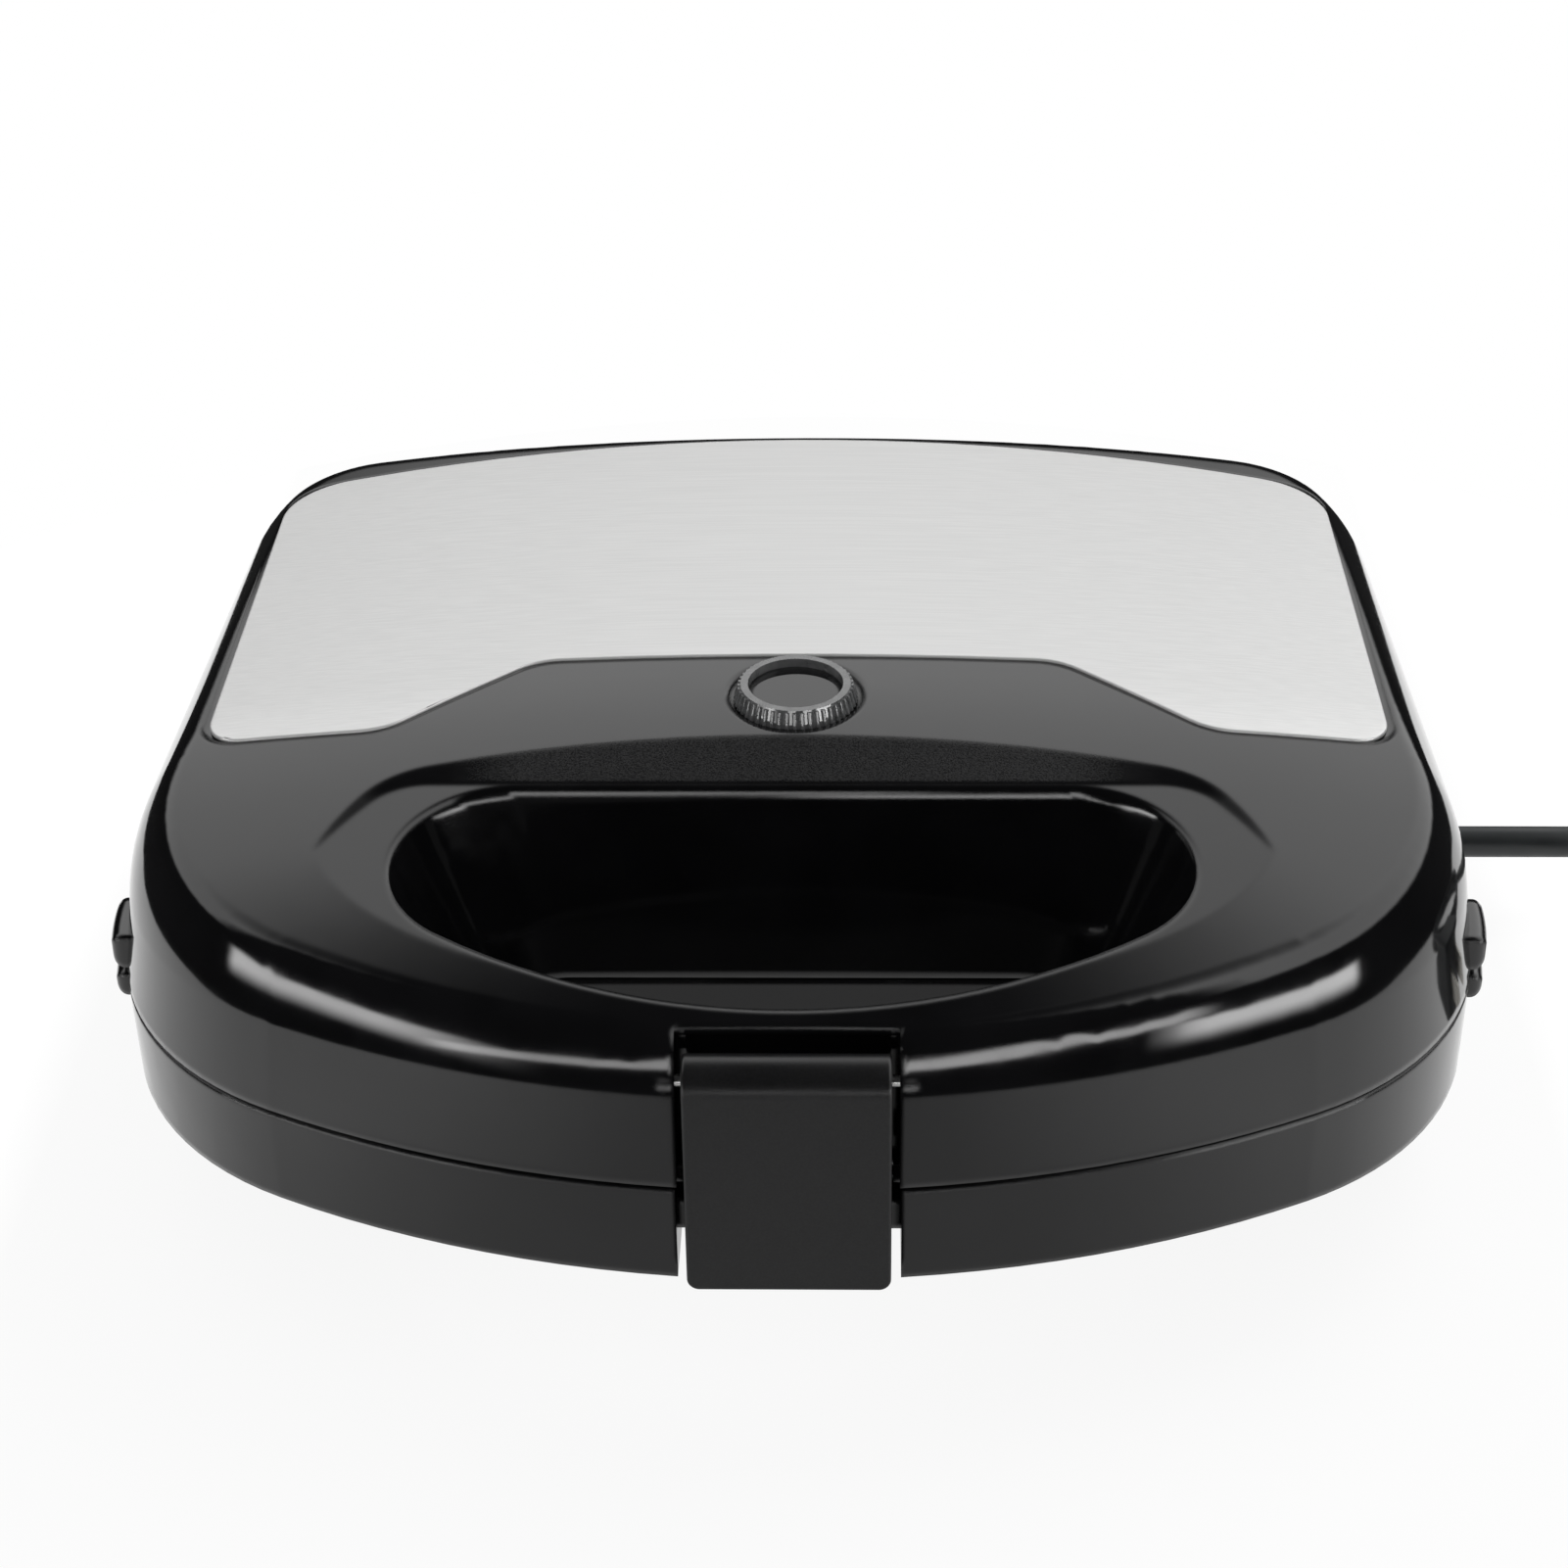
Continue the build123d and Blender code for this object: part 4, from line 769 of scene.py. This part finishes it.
def finish_node(node):
    """Give a part of the frame, whose shape is right, the finish of its material slot."""
    part = frame["nodes"][node]
    part.data.materials.clear()
    part.data.materials.append(finish_for(SLOT_OF_NODE[node]))
    return part


def select_only(piece):
    """Leave one piece selected and active."""
    bpy.ops.object.select_all(action="DESELECT")
    piece.select_set(True)
    bpy.context.view_layer.objects.active = piece


def merged_copy(node, name):
    """A copy of a part of the frame with its loose triangles joined, to be worked on by hand."""
    piece = bpy.data.objects.new(name, frame["nodes"][node].data.copy())
    bpy.context.scene.collection.objects.link(piece)
    select_only(piece)
    bpy.ops.mesh.customdata_custom_splitnormals_clear()
    bpy.ops.object.mode_set(mode="EDIT")
    bpy.ops.mesh.select_all(action="SELECT")
    bpy.ops.mesh.remove_doubles(threshold=MERGE_DISTANCE)
    bpy.ops.object.mode_set(mode="OBJECT")
    return piece


def soften_edges(piece, angle, radius, steps):
    """Round the sharp edges of a piece."""
    select_only(piece)
    bpy.ops.object.mode_set(mode="EDIT")
    bpy.ops.mesh.select_mode(type="EDGE")
    bpy.ops.mesh.select_all(action="DESELECT")
    bpy.ops.mesh.edges_select_sharp(sharpness=angle)
    bpy.ops.mesh.bevel(offset=radius, segments=steps, affect="EDGES")
    bpy.ops.mesh.select_all(action="SELECT")
    bpy.ops.mesh.dissolve_degenerate(threshold=MERGE_DISTANCE)
    bpy.ops.object.mode_set(mode="OBJECT")
    bpy.ops.object.shade_smooth_by_angle(angle=math.pi)
    even = piece.modifiers.new("Even normals", "WEIGHTED_NORMAL")
    even.mode = "FACE_AREA"
    even.weight = 100
    bpy.ops.object.modifier_apply(modifier=even.name)


def coil_route(count):
    """Points of the tied coil, half turn by half turn, and of the tail that runs to the plug."""
    points = []
    outset = 1.0 / math.cos(math.pi / (2 * count))
    turn_y = COIL_START_Y
    turn_z = COIL_LOWER_LAYER
    heading = 1
    for index, radius in enumerate(COIL_RADII):
        next_z = COIL_UPPER_LAYER if index >= COIL_CLIMB else COIL_LOWER_LAYER
        middle_y = turn_y - heading * radius
        for step in range(count):
            share = (step + 0.5) / count
            angle = math.pi * share
            points.append(
                (
                    COIL_X + heading * radius * outset * math.sin(angle),
                    middle_y + heading * radius * outset * math.cos(angle),
                    turn_z + (next_z - turn_z) * share,
                )
            )
        turn_y = middle_y - heading * radius
        turn_z = next_z
        heading = -heading
    points.extend((COIL_X - reach, turn_y, turn_z) for reach in COIL_TAIL)
    return points


class DONUT_OT_power_cord(bpy.types.Operator):
    """Lay the cord from its strain relief to the tied coil beside the donut maker"""

    bl_idname = "donut.power_cord"
    bl_label = "Lay power cord"

    def execute(self, context):
        settings = context.scene.donut_cord
        relief_piece = finish_node("strain_relief")
        plug = finish_node("power_plug")
        pins = finish_node("plug_pins")
        tie = finish_node("cord_tie")
        route = [CORD_EXIT, *CORD_LEAD, *coil_route(settings.turn_points)]
        line = bpy.data.curves.new("cord_sheath", "CURVE")
        line.dimensions = "3D"
        line.bevel_depth = settings.diameter / 2
        line.bevel_resolution = 6
        line.resolution_u = 8
        line.use_fill_caps = True
        spline = line.splines.new("NURBS")
        spline.points.add(len(route) - 1)
        for point, place in zip(spline.points, route):
            point.co = (*place, 1.0)
        spline.order_u = 3
        spline.use_endpoint_u = True
        cord = bpy.data.objects.new("cord_sheath", line)
        context.scene.collection.objects.link(cord)
        line.materials.append(finish_for("cord_pvc"))
        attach(cord, "base")
        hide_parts("power_cord", "cord_coil")
        return {"FINISHED"}


class DONUT_OT_shells(bpy.types.Operator):
    """Give the lid and the base their gloss black mouldings"""

    bl_idname = "donut.shells"
    bl_label = "Finish shells"

    def execute(self, context):
        lid = finish_node("lid_shell")
        lid.data.materials[0] = lid_finish()
        finish_node("base_shell")
        return {"FINISHED"}


class DONUT_OT_steel_panel(bpy.types.Operator):
    """Fit the brushed steel panel into the lid"""

    bl_idname = "donut.steel_panel"
    bl_label = "Fit steel panel"

    def execute(self, context):
        settings = context.scene.donut_finishes
        panel = merged_copy("lid_steel_panel", "brushed_lid_panel")
        soften_edges(panel, angle=0.6, radius=settings.panel_edge_radius, steps=3)
        panel.data.materials.clear()
        panel.data.materials.append(finish_for("brushed_panel"))
        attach(panel, "lid")
        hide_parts("lid_steel_panel")
        return {"FINISHED"}


class DONUT_OT_indicator(bpy.types.Operator):
    """Fit the ribbed indicator ring, its cap, board and lamp"""

    bl_idname = "donut.indicator"
    bl_label = "Fit indicator"

    def execute(self, context):
        finish_node("indicator_lens")
        finish_node("indicator_cap")
        finish_node("lamp_board")
        finish_node("indicator_led")
        return {"FINISHED"}


class DONUT_OT_latch(bpy.types.Operator):
    """Fit the front latch and its pin"""

    bl_idname = "donut.latch"
    bl_label = "Fit latch"

    def execute(self, context):
        finish_node("front_latch")
        finish_node("latch_pin")
        return {"FINISHED"}


class DONUT_OT_release_buttons(bpy.types.Operator):
    """Fit the four plate release buttons and their springs"""

    bl_idname = "donut.release_buttons"
    bl_label = "Fit release buttons"

    def execute(self, context):
        for level, body in (("upper", "lid"), ("lower", "base")):
            for side in ("left", "right"):
                finish_node(f"{level}_{side}_button")
                node = f"{level}_{side}_spring"
                spring = merged_copy(node, f"{level}_{side}_press_spring")
                bpy.ops.object.shade_smooth()
                spring.data.materials.clear()
                spring.data.materials.append(finish_for("spring_steel"))
                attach(spring, body)
                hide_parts(node)
                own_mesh(spring)
        return {"FINISHED"}


class DONUT_OT_cooking_plates(bpy.types.Operator):
    """Coat the donut plates and finish the bezels round them"""

    bl_idname = "donut.cooking_plates"
    bl_label = "Finish cooking plates"

    def execute(self, context):
        for level in ("upper", "lower"):
            finish_node(f"{level}_donut_plate")
            finish_node(f"{level}_bezel")
        return {"FINISHED"}


class DONUT_OT_heaters(bpy.types.Operator):
    """Finish the heater trays, elements and what controls them"""

    bl_idname = "donut.heaters"
    bl_label = "Finish heaters"

    def execute(self, context):
        for level in ("upper", "lower"):
            finish_node(f"{level}_heater_tray")
            finish_node(f"{level}_heating_element")
            finish_node(f"{level}_tray_screws")
        finish_node("thermostat")
        finish_node("thermostat_bracket")
        finish_node("thermal_fuse")
        finish_node("terminal_block")
        return {"FINISHED"}


class DONUT_OT_supports(bpy.types.Operator):
    """Finish the feet and the hinge pins"""

    bl_idname = "donut.supports"
    bl_label = "Finish supports"

    def execute(self, context):
        finish_node("rubber_feet")
        finish_node("hinge_pins")
        return {"FINISHED"}


def floor_finish(settings):
    """Pale floor that shows white round the object and keeps its soft shadow; as gloss sees it,
    its glow is dimmer in the middle, a painted shadow of the object.
    """
    finish, tree = blank_finish("Pale floor")
    shader_input(tree, "Roughness").default_value = 0.9
    shader_input(tree, "Specular IOR Level").default_value = 0.0
    vary_colour(
        tree,
        grain(tree, scale=9.0),
        dark=shade(settings.floor_colour, 0.99),
        light=shade(settings.floor_colour, 1.01),
    )
    across = place_parts(tree, "Object")[0]
    aside = number(tree, "ABSOLUTE", across)
    path = tree.nodes.new("ShaderNodeLightPath")
    clear = clear_ray(tree, path)
    gloss = path.outputs["Is Glossy Ray"]
    # Painted shadow: for gloss rays the floor glows dimmer in its middle than at its sides,
    # standing in for the object's shadow in reflections.
    gloss_painted_shadow = rise(tree, aside, *FLOOR_PAINTED_SHADOW_EDGES, *FLOOR_GLOSS_PAINTED_SHADOW)
    glow = tree.nodes.new("ShaderNodeEmission")
    tree.links.new(number(tree, "MAXIMUM", clear, gloss_painted_shadow), glow.inputs["Strength"])
    seen = number(tree, "MAXIMUM", clear, gloss)
    share = rise(tree, gloss, start=0.0, end=1.0, low=FLOOR_SHARE, high=1.0)
    surface = mix_shaders(
        tree,
        number(tree, "MULTIPLY", seen, share),
        tree.nodes["Principled BSDF"].outputs["BSDF"],
        glow.outputs["Emission"],
    )
    tree.links.new(surface, tree.nodes["Material Output"].inputs["Surface"])
    return finish


class DONUT_OT_stage(bpy.types.Operator):
    """Set up the camera, the pale floor, the soft light and the backdrop"""

    bl_idname = "donut.stage"
    bl_label = "Set stage"

    def execute(self, context):
        settings = context.scene.donut_stage
        self.add_camera(context, settings)
        self.add_floor(settings)
        self.add_world(context, settings)
        self.add_key_light(settings)
        context.scene.view_settings.view_transform = "Standard"
        return {"FINISHED"}

    def add_camera(self, context, settings):
        """Camera that looks at the front from above, as the photograph does."""
        pitch = settings.camera_pitch
        yaw = settings.camera_yaw
        roll = settings.camera_roll
        ahead = Vector(
            (
                math.sin(yaw) * math.cos(pitch),
                math.cos(yaw) * math.cos(pitch),
                -math.sin(pitch),
            )
        )
        level = Vector((math.cos(yaw), -math.sin(yaw), 0.0))
        upright = level.cross(ahead)
        right = math.cos(roll) * level + math.sin(roll) * upright
        up = math.cos(roll) * upright - math.sin(roll) * level
        turn = Matrix((right, up, -ahead)).transposed()
        bpy.ops.object.camera_add(
            location=settings.camera_place,
            rotation=turn.to_euler(),
        )
        camera = bpy.context.object
        camera.name = "front_camera"
        camera.data.sensor_width = SENSOR_WIDTH
        camera.data.lens = settings.camera_lens
        camera.data.clip_start = 0.01
        context.scene.camera = camera

    def add_floor(self, settings):
        """Round floor under the object and its cord."""
        bpy.ops.mesh.primitive_circle_add(
            vertices=96,
            radius=settings.floor_radius,
            fill_type="NGON",
            location=(0.0, 0.0, 0.0),
        )
        floor = bpy.context.object
        floor.name = "pale_floor"
        floor.data.materials.append(floor_finish(settings))

    def softbox(self, tree, round_back, height, level):
        """Large softbox behind the object, which is narrower and dimmer at its left."""
        left = fall(tree, round_back, *map(math.radians, SOFTBOX_STEP))
        across = band(
            tree,
            round_back,
            [math.radians(angle) for angle in SOFTBOX_LEFT_EDGE],
            [math.radians(angle) for angle in SOFTBOX_RIGHT_EDGE],
        )
        above = number(tree, "MULTIPLY_ADD", left, -SOFTBOX_BOTTOM_RAISE, height)
        below = number(tree, "MULTIPLY_ADD", left, SOFTBOX_TOP_DROP, height)
        upright = number(
            tree,
            "MULTIPLY",
            rise(tree, above, *SOFTBOX_BOTTOM),
            fall(tree, below, *SOFTBOX_TOP),
        )
        bright = number(tree, "MULTIPLY_ADD", left, -SOFTBOX_DIMMING * level, level)
        return number(tree, "MULTIPLY", number(tree, "MULTIPLY", across, bright), upright)

    def strips(self, tree, round_front, height, level):
        """Low strip lights in front: a thin line and a broad end at either side."""
        total = 0.0
        for strip in STRIP_LIGHTS:
            turn = [math.radians(angle) for angle in strip["turn"]]
            start = math.radians(strip["climb_from"])
            climb = strip["climb"]
            wide = band(tree, round_front, turn[:2], turn[2:])
            past = number(tree, "MAXIMUM", round_front, start)
            drop = number(tree, "MULTIPLY_ADD", past, -climb, climb * start)
            levelled = number(tree, "ADD", height, drop)
            tall = band(tree, levelled, strip["height"][:2], strip["height"][2:])
            lit = number(tree, "MULTIPLY", wide, tall)
            total = number(tree, "MULTIPLY_ADD", lit, level * strip["share"], total)
        return total

    def background(self, tree, level):
        """White light from all round, at a level that is a number or a socket."""
        light = tree.nodes.new("ShaderNodeBackground")
        light.inputs["Color"].default_value = (1.0, 1.0, 1.0, 1.0)
        if isinstance(level, float):
            light.inputs["Strength"].default_value = level
        else:
            tree.links.new(level, light.inputs["Strength"])
        return light.outputs["Background"]

    def add_world(self, context, settings):
        """Surround that is white to the camera, a studio to gloss and soft light to the rest."""
        world = bpy.data.worlds.new("Soft studio")
        context.scene.world = world
        world.use_nodes = True
        tree = world.node_tree
        tree.nodes.clear()
        across, along, height = place_parts(tree, "Generated")
        round_back = number(tree, "ARCTAN2", across, along)
        ahead = number(tree, "MULTIPLY", along, -1.0)
        round_front = number(tree, "ARCTAN2", across, ahead)
        lit = number(
            tree,
            "ADD",
            self.softbox(tree, round_back, height, settings.softbox_level),
            self.strips(tree, round_front, height, settings.strip_level),
        )
        around = self.background(tree, settings.sky_level)
        studio = self.background(tree, number(tree, "ADD", lit, DARK_LEVEL))
        white = self.background(tree, 1.0)
        path = tree.nodes.new("ShaderNodeLightPath")
        gloss = mix_shaders(tree, path.outputs["Is Glossy Ray"], around, studio)
        seen = mix_shaders(tree, clear_ray(tree, path), gloss, white)
        out = tree.nodes.new("ShaderNodeOutputWorld")
        tree.links.new(seen, out.inputs["Surface"])

    def add_key_light(self, settings):
        """Overhead light that gives the floor its soft shadow."""
        bpy.ops.object.light_add(type="AREA", location=KEY_PLACE)
        key = bpy.context.object
        key.name = "overhead_softbox"
        aim = Vector(KEY_AIM) - key.location
        key.rotation_euler = aim.to_track_quat("-Z", "Y").to_euler()
        key.data.size = KEY_SIZE
        key.data.energy = settings.key_power
        key.visible_camera = False
        key.visible_glossy = False


class DONUT_PT_sidebar(bpy.types.Panel):
    bl_idname = "DONUT_PT_sidebar"
    bl_label = "Donut maker"
    bl_space_type = "VIEW_3D"
    bl_region_type = "UI"
    bl_category = "Donut maker"

    def draw(self, context):
        for group in (
            context.scene.donut_finishes,
            context.scene.donut_cord,
            context.scene.donut_buttons,
            context.scene.donut_stage,
        ):
            box = self.layout.box()
            for name in group.__annotations__:
                box.prop(group, name)
        for step in STEPS:
            self.layout.operator(step.bl_idname)


STEPS = (
    DONUT_OT_power_cord,
    DONUT_OT_shells,
    DONUT_OT_steel_panel,
    DONUT_OT_indicator,
    DONUT_OT_latch,
    DONUT_OT_release_buttons,
    DONUT_OT_cooking_plates,
    DONUT_OT_heaters,
    DONUT_OT_supports,
    DONUT_OT_stage,
)
GROUPS = (DonutFinishSettings, DonutCordSettings, DonutButtonSettings, DonutStageSettings)


def register():
    for group in GROUPS:
        bpy.utils.register_class(group)
    for step in STEPS:
        bpy.utils.register_class(step)
    bpy.utils.register_class(DONUT_PT_sidebar)
    bpy.types.Scene.donut_finishes = PointerProperty(type=DonutFinishSettings)
    bpy.types.Scene.donut_cord = PointerProperty(type=DonutCordSettings)
    bpy.types.Scene.donut_buttons = PointerProperty(type=DonutButtonSettings)
    bpy.types.Scene.donut_stage = PointerProperty(type=DonutStageSettings)


def unregister():
    del bpy.types.Scene.donut_stage
    del bpy.types.Scene.donut_buttons
    del bpy.types.Scene.donut_cord
    del bpy.types.Scene.donut_finishes
    bpy.utils.unregister_class(DONUT_PT_sidebar)
    for step in reversed(STEPS):
        bpy.utils.unregister_class(step)
    for group in reversed(GROUPS):
        bpy.utils.unregister_class(group)


def main():
    register()
    bpy.ops.donut.power_cord()
    bpy.ops.donut.shells()
    bpy.ops.donut.steel_panel()
    bpy.ops.donut.indicator()
    bpy.ops.donut.latch()
    bpy.ops.donut.release_buttons()
    bpy.ops.donut.cooking_plates()
    bpy.ops.donut.heaters()
    bpy.ops.donut.supports()
    bpy.ops.donut.stage()


if __name__ == "__main__":
    main()
